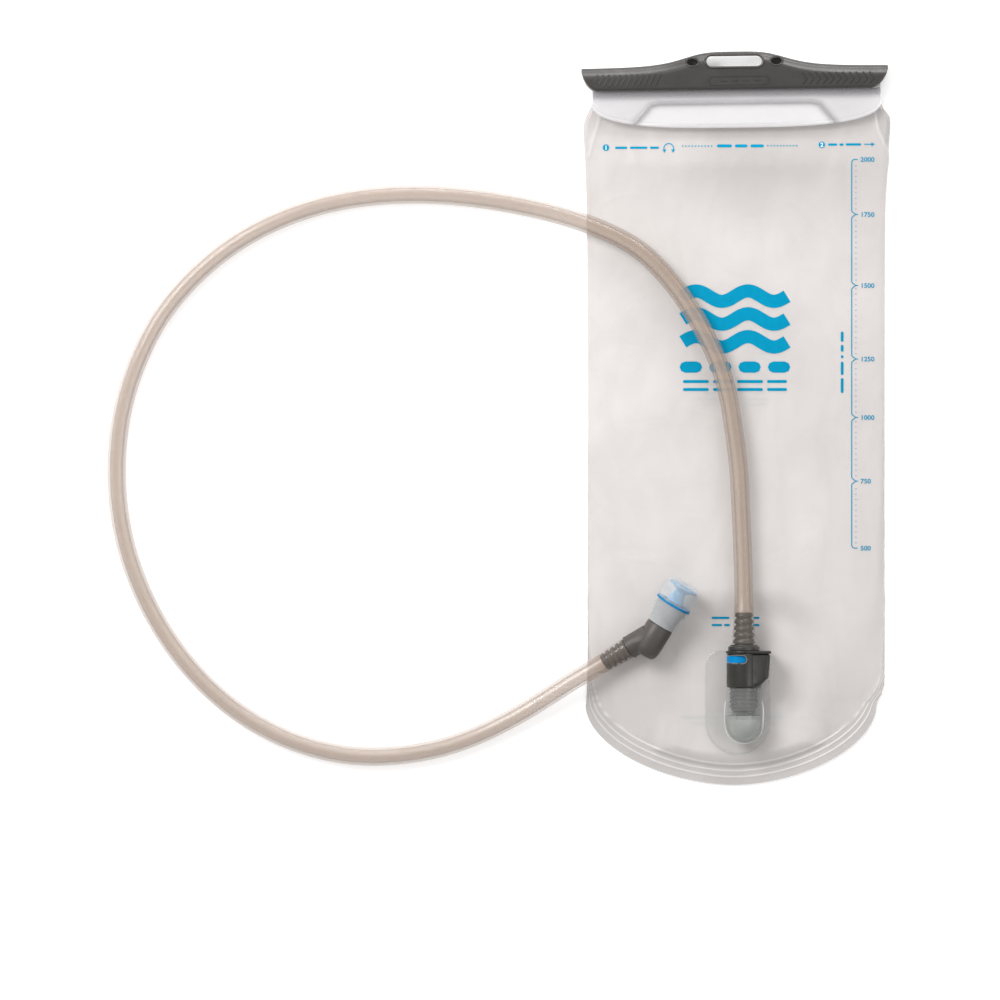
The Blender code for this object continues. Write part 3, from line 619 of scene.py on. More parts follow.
RIGHT_FOLD = ((69.0, 157.0), (70.3, 152.0), (71.7, 144.4), (74.5, 138.0), (78.2, 131.5))
LEFT_FOLD = ((-67.0, 152.0), (-68.5, 146.0), (-71.0, 138.6), (-73.0, 131.0))
CREASES = (  # a line, its height and its width
    (((78.0, -134.0), (74.5, -141.5), (71.0, -150.0)), 0.5, 0.8),
    (((76.5, -128.0), (70.0, -136.0), (66.0, -141.0)), 0.35, 1.4),
    (((-77.0, -136.0), (-71.0, -146.0), (-64.0, -152.0)), 0.35, 1.1),
    (((-40.0, -172.0), (-36.0, -160.0), (-34.0, -151.0)), 0.3, 1.6),
    (((38.0, -172.5), (33.0, -160.0), (30.0, -150.0)), 0.3, 1.6),
    (((-60.0, 147.0), (-52.0, 138.0), (-49.0, 128.0)), 0.3, 2.4),
    (((58.0, 149.0), (53.0, 140.0), (51.0, 126.0)), 0.3, 2.4),
    (((20.0, 148.0), (17.0, 138.0), (18.0, 126.0)), 0.25, 3.0),
    (((-20.0, 148.0), (-22.0, 140.0), (-18.0, 128.0)), 0.25, 3.0),
)


def front_height(across, x, y):
    """The height of the filled bag's front above the table."""
    from_bottom = distance_to_bottom(across, y)
    rise = min(max((from_bottom - WELD_BAND) / BOTTOM_RISE, 0.0), 1.0)
    crown = (1 - across * across) ** 0.6 * math.sin(math.pi / 2 * rise) ** 0.9
    pillow = WELD_TOP + (BAG_HEIGHT - WELD_TOP) * crown
    inset = min(max((side_edge(y, x > 0) - abs(x)) / 2, 0.0), 1.0)
    mouth = WELD_TOP + (MOUTH_HEIGHT - WELD_TOP) * inset
    closing = smoothstep((y - MOUTH_BLEND[0]) / (MOUTH_BLEND[1] - MOUTH_BLEND[0]))
    height = pillow + (mouth - pillow) * closing
    flatness = smoothstep(1 - (distance_to_flange(x, y) - LAND_MARGIN) / LAND_BLEND)
    broad, narrow = noise.noise((x * 0.021, y * 0.013, 3.0)), noise.noise((x * 0.05, y * 0.035, 8.0))
    height += (0.9 * broad + 0.4 * narrow - 0.7) * crown * (1 - closing) * (1 - flatness)
    height += (LAND - height) * flatness
    if flatness > 0:
        height = min(height, WELD_TOP + 0.7 * max(from_bottom - 8.5, 0.0))
    for bead_highlight in WELD_BEADS:
        height += 0.3 * hill(from_bottom - bead_highlight, 0.4)
    height += 0.12 * noise.noise((x * 0.09, y * 0.09, 1.0)) * smoothstep(1 - from_bottom / 14)
    if y > 125:
        for line in (RIGHT_FOLD, LEFT_FOLD):
            away, _ = distance_to_line(x, y, line)
            height += (0.7 if line is RIGHT_FOLD else 0.35) * hill(away, 0.9)
    if abs(y - 135) < 20 or y < -120:
        for line, tall, wide in CREASES:
            height += tall * hill(distance_to_line(x, y, line)[0], wide)
    return height


def surface_height(x, y):
    half = side_edge(y, x > 0)
    return front_height(min(max(x / half, -1.0), 1.0), x, y)


def bag_rows(heights):
    rows, shade, bead_highlight = [], [], []
    near = [0.35 * step for step in range(38)]
    shares = [place / 338 for place in near] + list(np.linspace(near[-1] / 338, 1, 190)[1:])
    for share in shares:
        row = []
        for column in range(161):
            across = math.sin(math.pi * (column / 160 - 0.5))
            low = bottom_edge(across)
            y = low + (BAG_TOP - low) * share
            x = across * side_edge(y, across > 0)
            row.append((x, y, heights(across, x, y)))
            away = distance_to_bottom(across, y)
            # painted shade: darkens the film over the weld band and outside the right fold, and paints the
            # folded mouth's shadow across the top
            outside = x > 60 and y > 131 and distance_to_line(x, y, RIGHT_FOLD)[1] > 0
            mouth_shadow = smoothstep((y - 85) / 45) * (0.14 + 0.36 * hill(x - 8, 42))
            shade.append(max(0.36 * smoothstep((WELD_BAND + 2 - away) / 5), 0.42 * outside, mouth_shadow))
            # painted highlight: bright lines along the weld beads and along the two fold ridges
            bright = max(hill(away - bead_highlight, 0.42) for bead_highlight in WELD_BEADS)
            if y > 128:
                bright = max(bright, 0.9 * hill(distance_to_line(x, y, RIGHT_FOLD)[0], 0.45),
                             0.5 * hill(distance_to_line(x, y, LEFT_FOLD)[0], 0.45))
            bead_highlight.append(bright)
        rows.append(row)
    return rows, shade, bead_highlight


def cut_inlet(piece, radius, low, high):
    """The upright hole that leads from the bag into the elbow."""
    placement = Matrix.Translation(Vector((AXIS_X, INLET_Y, 0)) * MM)
    cut(piece, turned([(0, high), (radius, high), (radius, low), (0, low)], 48), placement)


def build_bag(m):
    rows, shade, bead_highlight = bag_rows(front_height)
    front = grid_object("bag_front", rows, m["film"], {"shade": shade, "bead_highlight": bead_highlight}, 80)
    solidify(front, FILM, -1)
    cut_inlet(front, 5.0, 1, 12)
    rows = bag_rows(lambda across, x, y: 0.25)[0]
    back = grid_object("bag_back", rows[::3], m["back"], None, 80)
    solidify(back, FILM - 0.1)
    attach(front, "reservoir", "film", "front_panel")
    attach(back, "reservoir", "film", "back_panel")


# --- print

def flat_shape(outlines):
    """Outlines in XY as filled triangles."""
    mesh = bmesh.new()
    for outline in outlines:
        face = mesh.faces.new([mesh.verts.new((x, y, 0)) for x, y in outline])
        bmesh.ops.triangulate(mesh, faces=[face])
    return mesh


def lay(name, mesh, surface, lift=0.07, flat=None):
    """Lays a thin layer of ink at one height, or on the bag's front, cut into short edges that follow it."""
    for _ in range(4):
        longer = [edge for edge in mesh.edges if edge.calc_length() > 3.0]
        if not longer:
            break
        bmesh.ops.subdivide_edges(mesh, edges=longer, cuts=1)
        bmesh.ops.triangulate(mesh, faces=mesh.faces)
    for vertex in mesh.verts:
        x, y = vertex.co.x, vertex.co.y
        vertex.co.z = (surface_height(x, y) if flat is None else flat) + lift
    made = finish(name, mesh, surface, angle=80)
    solidify(made, 0.04)
    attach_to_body(made, "reservoir")


def band(points, width):
    """A strip of even width along a chain of points."""
    left, right = [], []
    for i, (x, y) in enumerate(points):
        x0, y0 = points[max(i - 1, 0)]
        x1, y1 = points[min(i + 1, len(points) - 1)]
        long = math.hypot(x1 - x0, y1 - y0)
        across = (-(y1 - y0) / long * width / 2, (x1 - x0) / long * width / 2)
        left.append((x + across[0], y + across[1]))
        right.append((x - across[0], y - across[1]))
    return [[left[i], right[i], right[i + 1], left[i + 1]] for i in range(len(points) - 1)]


def bar_shape(x0, x1, y, height):
    return [stadium(x0, x1, y - height / 2, y + height / 2, 4)]


def digits(text, centre, height, heavy=0.1, wide=1.0):
    """Outlines of plain numerals as a mesh, centred on a place and stretched to be this much wider."""
    curve = bpy.data.curves.new("numeral", "FONT")
    curve.body = text
    curve.size = height / 0.7
    curve.offset = heavy * height * 0.5
    curve.resolution_u = 4
    curve.align_x = "CENTER"
    made = bpy.data.objects.new("numeral", curve)
    bpy.context.scene.collection.objects.link(made)
    data = bpy.data.meshes.new_from_object(made.evaluated_get(bpy.context.evaluated_depsgraph_get()))
    stretch = Matrix.Diagonal((wide, 1, 1, 1))
    data.transform(Matrix.Translation((centre[0], centre[1] - height / 2, 0)) @ stretch)
    bpy.data.objects.remove(made, do_unlink=True)
    return data


SCALE_X, SCALE_CORNER, SCALE_LINE = 58.4, 1.6, 0.5
SCALE_MARKS = ((129.4, "2000"), (101.9, "1750"), (66.4, "1500"), (29.7, "1250"), (0.5, "1000"),
               (-31.3, "750"), (-64.8, "500"))


def build_scale(m):
    """One line from mark to mark with a cusp at each, dots between them and numerals beside them."""
    levels = [level for level, _ in SCALE_MARKS]
    top, low = levels[0], levels[-1]
    turns = [(SCALE_X + SCALE_CORNER * (1 - math.cos(a)), SCALE_CORNER * math.sin(a) - SCALE_CORNER)
             for a in np.linspace(0, math.pi / 2, 6)]
    shapes = band([(SCALE_X + 3.0, low), *((x, low - y) for x, y in reversed(turns))], SCALE_LINE)
    shapes += band([*((x, top + y) for x, y in turns), (SCALE_X + 3.0, top)], SCALE_LINE)
    for upper, lower in zip(levels, levels[1:]):
        ends = (upper - (1.6 if upper == top else 1.9), lower + (1.6 if lower == low else 1.9))
        shapes += band([(SCALE_X, y) for y in np.linspace(*ends, 12)], SCALE_LINE)
        dots = np.arange(lower + 2.7, upper - 1.5, 2.7)
        shapes += [ellipse((SCALE_X + 2.1, y), (0.55, 0.55), 8) for y in dots]
    for level in levels[1:-1]:
        cusp = [(SCALE_X + 2.2 * (1 - abs(t)) ** 1.6, level + 1.9 * t) for t in np.linspace(1, -1, 13)]
        shapes += band(cusp, SCALE_LINE)
        shapes += band([(SCALE_X + 2.0, level), (SCALE_X + 3.2, level)], SCALE_LINE)
    mesh = flat_shape(shapes)
    for level, text in SCALE_MARKS:
        middle = SCALE_X + (7.9 if len(text) == 4 else 7.0)
        mesh.from_mesh(digits(text, (middle, level), 2.25, 0.06, 1.1))
    lay("scale_print", mesh, m["ink"])


LEADER_DOTS = ((136.0, -26, -10), (136.2, 16.5, 31.4))  # height, from, to
DASHES = (  # height, thickness, then the ends of each dash
    (136.1, 1.5, (-9.0, -1.4), (0.0, 6.4), (7.8, 14.5)),
    (135.2, 1.15, (-59.8, -53.6), (-52.4, -43.6), (-42.4, -37.8)),
    (136.8, 1.15, (46.6, 51.2), (52.2, 54.4)),
    (136.9, 1.15, (55.4, 63.2)),
    (-99.6, 1.15, (-11.6, -2.6), (9.2, 12.4)),
    (-103.2, 1.15, (-11.6, -6.4), (-5.4, -2.4), (9.0, 12.4)),
)
UPRIGHT_DASHES = (53.6, 1.4, (12.6, 20.2), (21.6, 28.4), (30.0, 31.6), (33.2, 36.8), (38.2, 43.4))
STEPS = ((-64.3, 135.3), (43.5, 136.7))


def dashes(y, height, *spans):
    return [outline for x0, x1 in spans for outline in bar_shape(x0, x1, y, height)]


def build_marks(m):
    """The fill line, the two step marks with their arrows, and dashes where lines of text stood."""
    shapes = [ellipse((x, y), (0.8, 0.8), 8) for y, x0, x1 in LEADER_DOTS for x in np.arange(x0, x1, 1.6)]
    for row in DASHES:
        shapes += dashes(*row)
    shapes += [[(y, x) for x, y in outline][::-1] for outline in dashes(*UPRIGHT_DASHES)]
    shapes += [ellipse(step, (3.3, 3.3), 20) for step in STEPS]
    line = [(2.4 * math.cos(a) - 33.0, 2.4 * math.sin(a) + 134.9)
            for a in np.linspace(math.radians(205), math.radians(-25), 16)]
    shapes += band(line, 0.5)
    for x, y in (line[0], line[-1]):
        shapes.append([(x - 1.0, y + 0.4), (x, y - 1.3), (x + 1.0, y + 0.4)])
    shapes += band([(64.6, 137.0), (68.6, 137.0)], 0.5)
    shapes.append([(68.3, 138.0), (68.3, 136.0), (70.1, 137.0)])
    lay("step_marks", flat_shape(shapes), m["ink"])
    mesh = bmesh.new()
    for text, step in zip("12", STEPS):
        mesh.from_mesh(digits(text, step, 2.1, 0.05))
    lay("step_numbers", mesh, m["white"], 0.12)


BACK_DASHES = (
    (-146.0, 1.3, (-13.0, -2.0), (10.0, 13.4)), (-149.4, 1.3, (-26.0, -8.0), (14.0, 26.0)),
    (-152.6, 1.3, (-21.0, -7.0), (15.0, 21.6)), (-157.0, 1.3, (-10.6, -6.4)),
)


def build_motif(m):
    """Three broad waves over rows of dashes, and the faint rings and dashes printed on the back film."""
    shapes = []
    for level in (61.0, 49.6, 38.2):
        shapes += band([(x, level + 2.6 * math.sin((x + 26) / 52 * 4 * math.pi))
                        for x in np.linspace(-26, 26, 61)], 6.6)
    for x in (-22.0, -7.3, 7.3, 22.0):
        shapes += bar_shape(x - 5.6, x + 5.6, 25.6, 5.6)
    for row in (18.4, 14.4):
        shapes += dashes(row, 1.5, (-26.0, -13.0), (-11.0, -1.0), (1.0, 14.0), (16.0, 26.0))
    mesh = flat_shape(shapes)
    bmesh.ops.remove_doubles(mesh, verts=mesh.verts, dist=0.01)
    lay("front_motif", mesh, m["ink"])
    shapes = []
    for x in (-12.3, 11.4):
        for y in (59.5, 40.5, 17.6):
            circle = ellipse((x, y), (10.4, 10.4), 33)
            shapes += band(circle + circle[:1], 0.9)
            shapes += bar_shape(x - 2.6, x + 2.6, y, 2.4)
            shapes += bar_shape(x - 6.0, x + 6.0, y - 8.0, 1.2)
            shapes += bar_shape(x - 5.0, x + 5.0, y - 10.6, 1.2)
    for row in BACK_DASHES:
        shapes += dashes(*row)
    lay("back_motif", flat_shape(shapes), m["faint"], 0.0, 0.75)


# --- mouth and slide bar

def in_mouth(x, y):
    """A point of the turned mouth frame, in the object's XY."""
    cos, sin = math.cos(MOUTH_TURN), math.sin(MOUTH_TURN)
    return x * cos - (y - MOUTH_CENTRE[1]) * sin, MOUTH_CENTRE[1] + x * sin + (y - MOUTH_CENTRE[1]) * cos


MOUTH_FRAME = Matrix.Translation(Vector((0, MOUTH_CENTRE[1], 0)) * MM) @ Matrix.Rotation(MOUTH_TURN, 4, "Z")


EMBOSS = ((-50.0, 147.6), (-47.5, 150.5), (-42.0, 156.6), (-38.0, 157.6), (38.0, 157.6), (42.0, 156.6),
          (47.6, 150.0), (50.0, 147.2))


def flap_end(x):
    middle, half = (LIP_LEFT + LIP_RIGHT) / 2, (LIP_RIGHT - LIP_LEFT) / 2
    share = min(abs(x - middle) / half, 1.0)
    return FLAP_SIDE - FLAP_DROP * (1 - share**3.2) ** 0.45


def build_lip(name, node, legs, start_height, end_lift, outer, surface):
    """One mouth strip: up the bag's side of the bar's channel, round the fold and down in front of it."""
    low_leg, high_leg = legs
    radius = (high_leg - low_leg) / 2
    arc = [(FOLD_CENTRE + radius * math.sin(a), (low_leg + high_leg) / 2 - radius * math.cos(a))
           for a in np.linspace(0, math.pi, 17)]
    fixed = [(150.0, start_height), (153.0, start_height), (157.0, start_height + 0.1),
             (160.0, start_height + 0.6), (163.4, low_leg), (166, low_leg), *arc, (166, high_leg),
             (FLAP_START, high_leg)]
    rows, frost, shade = [], [], []
    for step in range(181):
        across = math.sin(math.pi * (step / 180 - 0.5))
        x = (LIP_LEFT + LIP_RIGHT) / 2 + across * (LIP_RIGHT - LIP_LEFT) / 2
        end = flap_end(x) + end_lift
        flap = [FLAP_START + (end - FLAP_START) * share for share in np.linspace(0.02, 1, 56)]
        path = fixed + [(y, high_leg) for y in flap]
        row = []
        for i, (y, z) in enumerate(path):
            inside = dark = 0.0
            on_flap = i >= len(fixed)
            if outer:
                away, side = distance_to_line(x, y, EMBOSS)
                dark = 0.75 * smoothstep((y - 158.2) / 4.5) * on_flap
                dark = max(dark, 0.55 * hill(away, 1.9) * on_flap)
            if outer and on_flap:
                z += 0.45 * hill(away, 0.8)
                inside = 1.0 if side < 0 and 147 < y and abs(x) < 50 else 0.0
                inside = max(inside * smoothstep(away / 0.8), 0.35 * hill(away, 0.7))
                z += 0.3 * hill(y - end - 0.6, 0.6)
            if on_flap:
                z += 0.16 * noise.noise((x * 0.07, y * 0.1, low_leg)) * smoothstep((162 - y) / 6)
                z -= 0.35 * smoothstep((155 - y) / 9) * (not outer)
            row.append((*in_mouth(x, y), z))
            frost.append(inside)
            shade.append(dark)
        rows.append(row)
    made = grid_object(name, rows, surface, {"frost": frost, "shade": shade}, 80)
    solidify(made, LIP_FILM)
    attach(made, "reservoir", "clear_tpu", node)


def hump(x):
    return BAR_TOP + HUMP_HEIGHT / (1 + (x / HUMP_WIDTH) ** 4)


def bar_low(x):
    """The bar's lower edge, which curves up to its back at both ends."""
    places = (-76.5, -76.2, -75.4, -74.2, -72.6, -71.0, -69.2, 68.2, 70.2, 72.4, 74.2, 75.5, 76.2, 76.5)
    edges = (173.6, 172.4, 169.8, 167.6, 165.8, 164.6, 164.1, 164.1, 164.8, 166.1, 168.2, 170.6, 172.8, 173.8)
    return float(np.interp(x, places, edges))


def bar_top(x, y):
    """The height of the bar's front: flat along the grips, with a sloping upper edge."""
    edge = hump(x) - 1.0
    fall = min(max((y - edge + 4.4) / 4.4, 0.0), 1.0)
    return BAR_DEPTH + (HUMP_DEPTH[1] - BAR_DEPTH) * fall * fall * (1.6 - 0.6 * fall)


def bar_section(x):
    """The outline across the bar, as (y, z), from the back of its lower edge round to the front of it."""
    low, top = bar_low(x), hump(x)
    share = min(1.0, (top - low) / 8)
    small, large = 0.9 * share, 1.5 * share
    quarter = [math.radians(15 * step) for step in range(7)]
    outline = [(low + small * (1 - math.sin(a)), small * (1 - math.cos(a))) for a in reversed(quarter)]
    outline += [(BAR_TOP - 0.7, 0.0), (BAR_TOP - 0.2, 0.3), (BAR_TOP, 0.8),
                (BAR_TOP + 0.02, HUMP_DEPTH[0] - 0.1)]
    outline += [(top - 1.0 + math.sin(a), HUMP_DEPTH[0] + 1.2 * (1 - math.cos(a))) for a in quarter]
    outline += [(top - 1.0 + math.cos(a), HUMP_DEPTH[1] - 1.4 * (1 - math.sin(a))) for a in quarter]
    outline += [(y, bar_top(x, y)) for y in np.linspace(top - 1.0, low + large, 16)[1:-1]]
    outline += [(low + large * (1 - math.sin(a)), BAR_DEPTH - large * (1 - math.cos(a))) for a in quarter]
    return [(min(max(y, low), top), z) for y, z in outline]


def build_bar(m):
    mesh = bmesh.new()
    end = np.linspace(69, 76.5, 16)
    spans = np.concatenate([-end[::-1], np.linspace(-68, 68, 137), end])
    rings = [[mesh.verts.new((x, y - MOUTH_CENTRE[1], z)) for y, z in bar_section(x)] for x in spans]
    for first, second in zip(rings, rings[1:]):
        bridge(mesh, first, second)
    mesh.faces.new(rings[0])
    mesh.faces.new(rings[-1])
    bmesh.ops.dissolve_degenerate(mesh, edges=mesh.edges, dist=0.01)
    bar = finish("bar_body", mesh, m["bar"], angle=50)
    low, high, end = CHANNEL
    cut(bar, box((-74.3, 150 - MOUTH_CENTRE[1], low), (90, end - MOUTH_CENTRE[1], high)))
    for outline, floor in ((stadium(*SLOT), -5), *((ellipse(hole, LASH_SIZE), 4.0) for hole in LASH_HOLES)):
        cut(bar, prism([(x, y - MOUTH_CENTRE[1]) for x, y in outline], floor, 20))
    bar.data.transform(MOUTH_FRAME)
    # painted highlight: the rims and the grips below use the lighter copy of the bar plastic
    rims = bmesh.new()
    x0, x1, y0, y1 = SLOT
    loops = [(stadium(x0 - 0.5, x1 + 0.5, y0 - 0.4, y1 + 0.4, 24), 0.6)]
    loops += [(ellipse(hole, (LASH_SIZE[0] + 1.0, LASH_SIZE[1] + 1.0), 40), 0.45) for hole in LASH_HOLES]
    for outline, wide in loops:
        tube(rims, [(x, y - MOUTH_CENTRE[1], bar_top(x, y) - 0.1) for x, y in outline], wide, True)
    rim = finish("bar_rims", rims, m["bar_highlit"], MOUTH_FRAME)
    grips = bmesh.new()
    for step in range(12):
        x = -71.2 + 2.86 * step
        start = 0.0 if step > 1 else 0.3 - 0.15 * step
        ridge(grips, [(x + 2.7 * start, 166.6 + 5.6 * start), (x + 2.7, 172.2)], 1.1, BAR_DEPTH, 0.42)
    for step in range(11):
        x = 35.0 + 3.35 * step
        ridge(grips, [(x - 1.3, 166.6), (x + 1.0, 169.4), (x - 1.3, 172.2)], 0.9, BAR_DEPTH, 0.5)
    line = stadium(-13.0, 17.0, 166.5, 170.7, 8)
    ridge(grips, line + line[:1], 0.8, BAR_DEPTH, 0.28)
    for x in (-7.0, -1.5, 4.0, 9.5):
        ridge(grips, [(x, 168.6), (x + 3.0, 168.6)], 1.1, BAR_DEPTH, 0.28)
    for vertex in grips.verts:
        vertex.co.z += bar_top(vertex.co.x, vertex.co.y) - BAR_DEPTH
        vertex.co.y -= MOUTH_CENTRE[1]
    grip = finish("bar_grips", grips, m["bar_highlit"], MOUTH_FRAME)
    attach(bar, "bar", "dark_grey", "slide_bar")
    for piece in (rim, grip):
        attach(piece, "bar", "dark_grey")


def ridge(mesh, line, width, base, tall=0.35):
    """A low rib with sloping sides along a chain of points."""
    def sides(wide, z):
        quads = band(line, wide)
        left = [(*quads[0][0], z)] + [(*quad[3], z) for quad in quads]
        right = [(*quads[0][1], z)] + [(*quad[2], z) for quad in quads]
        return [mesh.verts.new(p) for p in left], [mesh.verts.new(p) for p in right]

    low_left, low_right = sides(width, base - 0.2)
    high_left, high_right = sides(width * 0.55, base + tall)
    for i in range(len(line) - 1):
        mesh.faces.new([low_left[i], low_left[i + 1], high_left[i + 1], high_left[i]])
        mesh.faces.new([high_left[i], high_left[i + 1], high_right[i + 1], high_right[i]])
        mesh.faces.new([high_right[i], high_right[i + 1], low_right[i + 1], low_right[i]])
        mesh.faces.new([low_right[i], low_right[i + 1], low_left[i + 1], low_left[i]])
    for end in (0, -1):
        mesh.faces.new([low_left[end], high_left[end], high_right[end], low_right[end]])


def build_mouth(m):
    build_lip("flap_outer", "lip_back", (3.3, 7.5), 1.1, 0.0, True, m["flap"])
    build_lip("flap_inner", "lip_front", (4.2, 6.6), 2.0, 2.4, False, m["flap"])
    build_bar(m)


# --- port and coupling

MAIN_AXIS = along_axis((AXIS_X, 0, AXIS_Z), Vector((0, 1, 0)))


def flange_outline(inset=0.0):
    """A half circle at the bottom and two rounded corners at the top."""
    half, corner = FLANGE_HALF - inset, FLANGE_CORNER - inset
    low = FLANGE_BOTTOM + FLANGE_HALF
    outline = [(FLANGE_X + half * math.cos(a), low + half * math.sin(a))
               for a in np.linspace(math.pi, 2 * math.pi, 49)]
    for side, start in ((1, 0), (-1, 90)):
        centre = (FLANGE_X + side * (half - corner), FLANGE_TOP - inset - corner)
        outline += [(centre[0] + corner * math.cos(a), centre[1] + corner * math.sin(a))
                    for a in (math.radians(start + 6 * step) for step in range(16))]
    return outline


BULB_OUTSIDE = (
    (8.7, -134.5), (8.7, -139), (9.0, -141), (9.45, -143.5), (9.65, -146), (9.65, -149), (9.5, -152),
    (9.1, -154.6), (8.3, -157), (7.0, -159), (5.2, -160.6), (3.0, -161.6), (1.2, -161.95), (0, -162),
)
BULB_INSIDE = (
    (0, -160.4), (1.2, -160.35), (3.2, -159.8), (5.0, -158.7), (6.4, -157.0), (7.4, -154.6), (7.95, -151.5),
    (8.1, -148), (8.0, -145.5), (7.6, -142.5), (7.2, -139), (7.2, -134.5),
)
CUP = ((9.1, -152), (8.7, -154.5), (7.9, -156.8), (6.6, -158.7), (4.9, -160.2), (2.8, -161.1), (0, -161.5))


def milky_cup(start, size):
    """A thin cup inside the clear bulb, open towards the housing; three of them nest into a soft haze."""
    def wall(scale):
        return [(9.2 * scale, start)] + [(radius * scale, (place - INLET_Y) * scale + INLET_Y)
                                         for radius, place in CUP]

    return turned(wall(size) + wall(size - 0.03)[::-1], 64)


def build_port(m):
    base = LAND + GAP
    flange = finish("port_flange", prism(flange_outline(), base, base + 0.7), m["flange"])
    bevel(flange, 0.25, 2, 50)
    cut_inlet(flange, 4.5, 3, 14)
    rim = bmesh.new()
    tube(rim, [(x, y, base + 0.75) for x, y in flange_outline(0.55)], 0.45, True)
    rim = finish("flange_rim", rim, m["clear"])
    elbow = finish("port_bulb", turned(BULB_OUTSIDE + BULB_INSIDE, 72), m["clear"], MAIN_AXIS)
    linings = [finish(f"bulb_lining_{i}", milky_cup(start, 1 - 0.045 * i), m["milky"], MAIN_AXIS)
               for i, start in enumerate((-148.2, -150.1, -152.0))]
    right = BULB_OUTSIDE[2:]
    left = [(-radius, place) for radius, place in reversed(right[:-1])]
    # painted highlight: a bright bead along the bulb's outline as seen from above
    edge = bmesh.new()
    tube(edge, [(AXIS_X + x, y, AXIS_Z) for x, y in (*right, *left)], 0.42, False)
    edge = finish("bulb_edge_highlight", edge, m["edge"])
    oval = ellipse((AXIS_X, INLET_Y + 1.5), (12.5, 22), 48)
    foot = finish("elbow_foot", prism(oval, base + 0.5, AXIS_Z - 7.9), m["clear"])
    bevel(foot, 0.5, 2, 50)
    cut_inlet(foot, 4.5, 3, 14)
    for piece in (flange, rim, edge, foot, *linings):
        attach(piece, "reservoir", "clear_tpu")
    attach(elbow, "reservoir", "clear_tpu", "port_elbow")


def upright(outline, low, high, name, surface):
    turn = Matrix.Translation(Vector((AXIS_X, 0, AXIS_Z)) * MM) @ Matrix.Rotation(math.radians(90), 4, "X")
    return finish(name, prism(outline, -high, -low), surface, turn)


def round_left_outline(radius, right, half):
    arc = [(-radius * math.sin(a), radius * math.cos(a)) for a in np.linspace(0, math.pi, 37)]
    return arc + [(0, -half), (right - AXIS_X, -half), (right - AXIS_X, half), (0, half)]


COUPLING_BORE = (
    (0, -115), (4.5, -115), (4.5, -125), (3.9, -125), (3.9, -130.5), (2.7, -130.5), (2.7, -131.5),
    (4.4, -131.5), (4.4, -144.5), (0, -144.5),
)
STEM_END = (
    (6.2, -145.6), (4.25, -146.6), (4.25, -150.0), (2.6, -150.0), (2.6, -144.5), (4.4, -144.5), (4.4, -133.5),
)
BUTTON_RADIUS = 8.5
BUTTON_SLOT = (-20, 5.6, BUTTON_BOTTOM - GAP, BUTTON_TOP + GAP)


def build_housing(m):
    """A round body joined to a flat-sided block, with the button's slot and pockets and the plug's bore."""
    shell = [(0, HOUSING_TOP), (HOUSING_RADIUS, HOUSING_TOP), (HOUSING_RADIUS, HOUSING_BOTTOM),
             (0, HOUSING_BOTTOM)]
    body = finish("housing", turned(rounded(shell, 0.9), 72), m["housing"], MAIN_AXIS)
    outline = [(AXIS_X, HOUSING_TOP), (BLOCK_RIGHT - 0.2, HOUSING_TOP), (BLOCK_RIGHT - 1.2, -129.8),
               (BLOCK_RIGHT - 2.6, -130.4), (BLOCK_RIGHT - 5.4, -133.4), (AXIS_X, -133.6)]
    side = finish("block", prism(outline, AXIS_Z - BLOCK_HALF, AXIS_Z + BLOCK_HALF), m["housing"])
    bevel(side, 1.6, 5, 40)
    boolean(body, side, "UNION")
    cut(body, prism(stadium(*BUTTON_SLOT), -10, 40))
    cut(body, turned(COUPLING_BORE, 48), MAIN_AXIS)
    _, slot_end, slot_low, slot_high = BUTTON_SLOT
    for start, end, half in ((slot_end - 1.0, slot_end, BUTTON_FLAT), (AXIS_X, TONGUE_END, TONGUE_HALF)):
        cut(body, box((start, slot_low, AXIS_Z - half - 0.15),
                      (end + BUTTON_TRAVEL + 0.15, slot_high, AXIS_Z + half + 0.15)))
    return body


def build_button_rim(m):
    """A painted highlight: a thin light edge round the slot's end, wrapped over the round body."""
    _, slot_end, slot_low, slot_high = BUTTON_SLOT
    middle, half = (slot_low + slot_high) / 2, (slot_high - slot_low) / 2 + 0.15
    bend = [(slot_end - half + half * math.cos(a), middle + half * math.sin(a))
            for a in np.linspace(-1.6, 1.6, 17)]
    line = [(x, bend[0][1]) for x in (-2.0, 0.0)] + bend + [(x, bend[-1][1]) for x in (0.0, -2.0)]
    rim = bmesh.new()
    ridge(rim, line, 0.65, 0.0, 0.2)
    for vertex in rim.verts:
        away = min(abs(vertex.co.x - AXIS_X), HOUSING_RADIUS - 0.2) if vertex.co.x < AXIS_X else 0.0
        vertex.co.z += AXIS_Z + math.sqrt(HOUSING_RADIUS**2 - away**2) - 0.04
    return finish("button_rim", rim, m["housing_highlit"])


def build_stem(m):
    ribs = [(7.15, -133.5)]
    for start in np.arange(-134.4, -144.5, -2.1):
        ribs += [(7.0, start), (7.0, start - 1.2), (6.35, start - 1.4), (6.35, start - 1.9)]
    return finish("housing_stem", turned([*ribs, *STEM_END], 64), m["plug"], MAIN_AXIS)


def build_cap(m):
    outline = round_left_outline(HOUSING_RADIUS + CAP_LIP, BLOCK_RIGHT + 0.1, BLOCK_HALF + CAP_LIP)
    cap = upright(outline, HOUSING_TOP + 0.05, CAP_TOP + 0.35, "housing_lip", m["housing"])
    bevel(cap, 0.3, 4, 50)
    cut(cap, turned([(0, -112), (4.5, -112), (4.5, -120), (0, -120)], 48), MAIN_AXIS)
    return cap


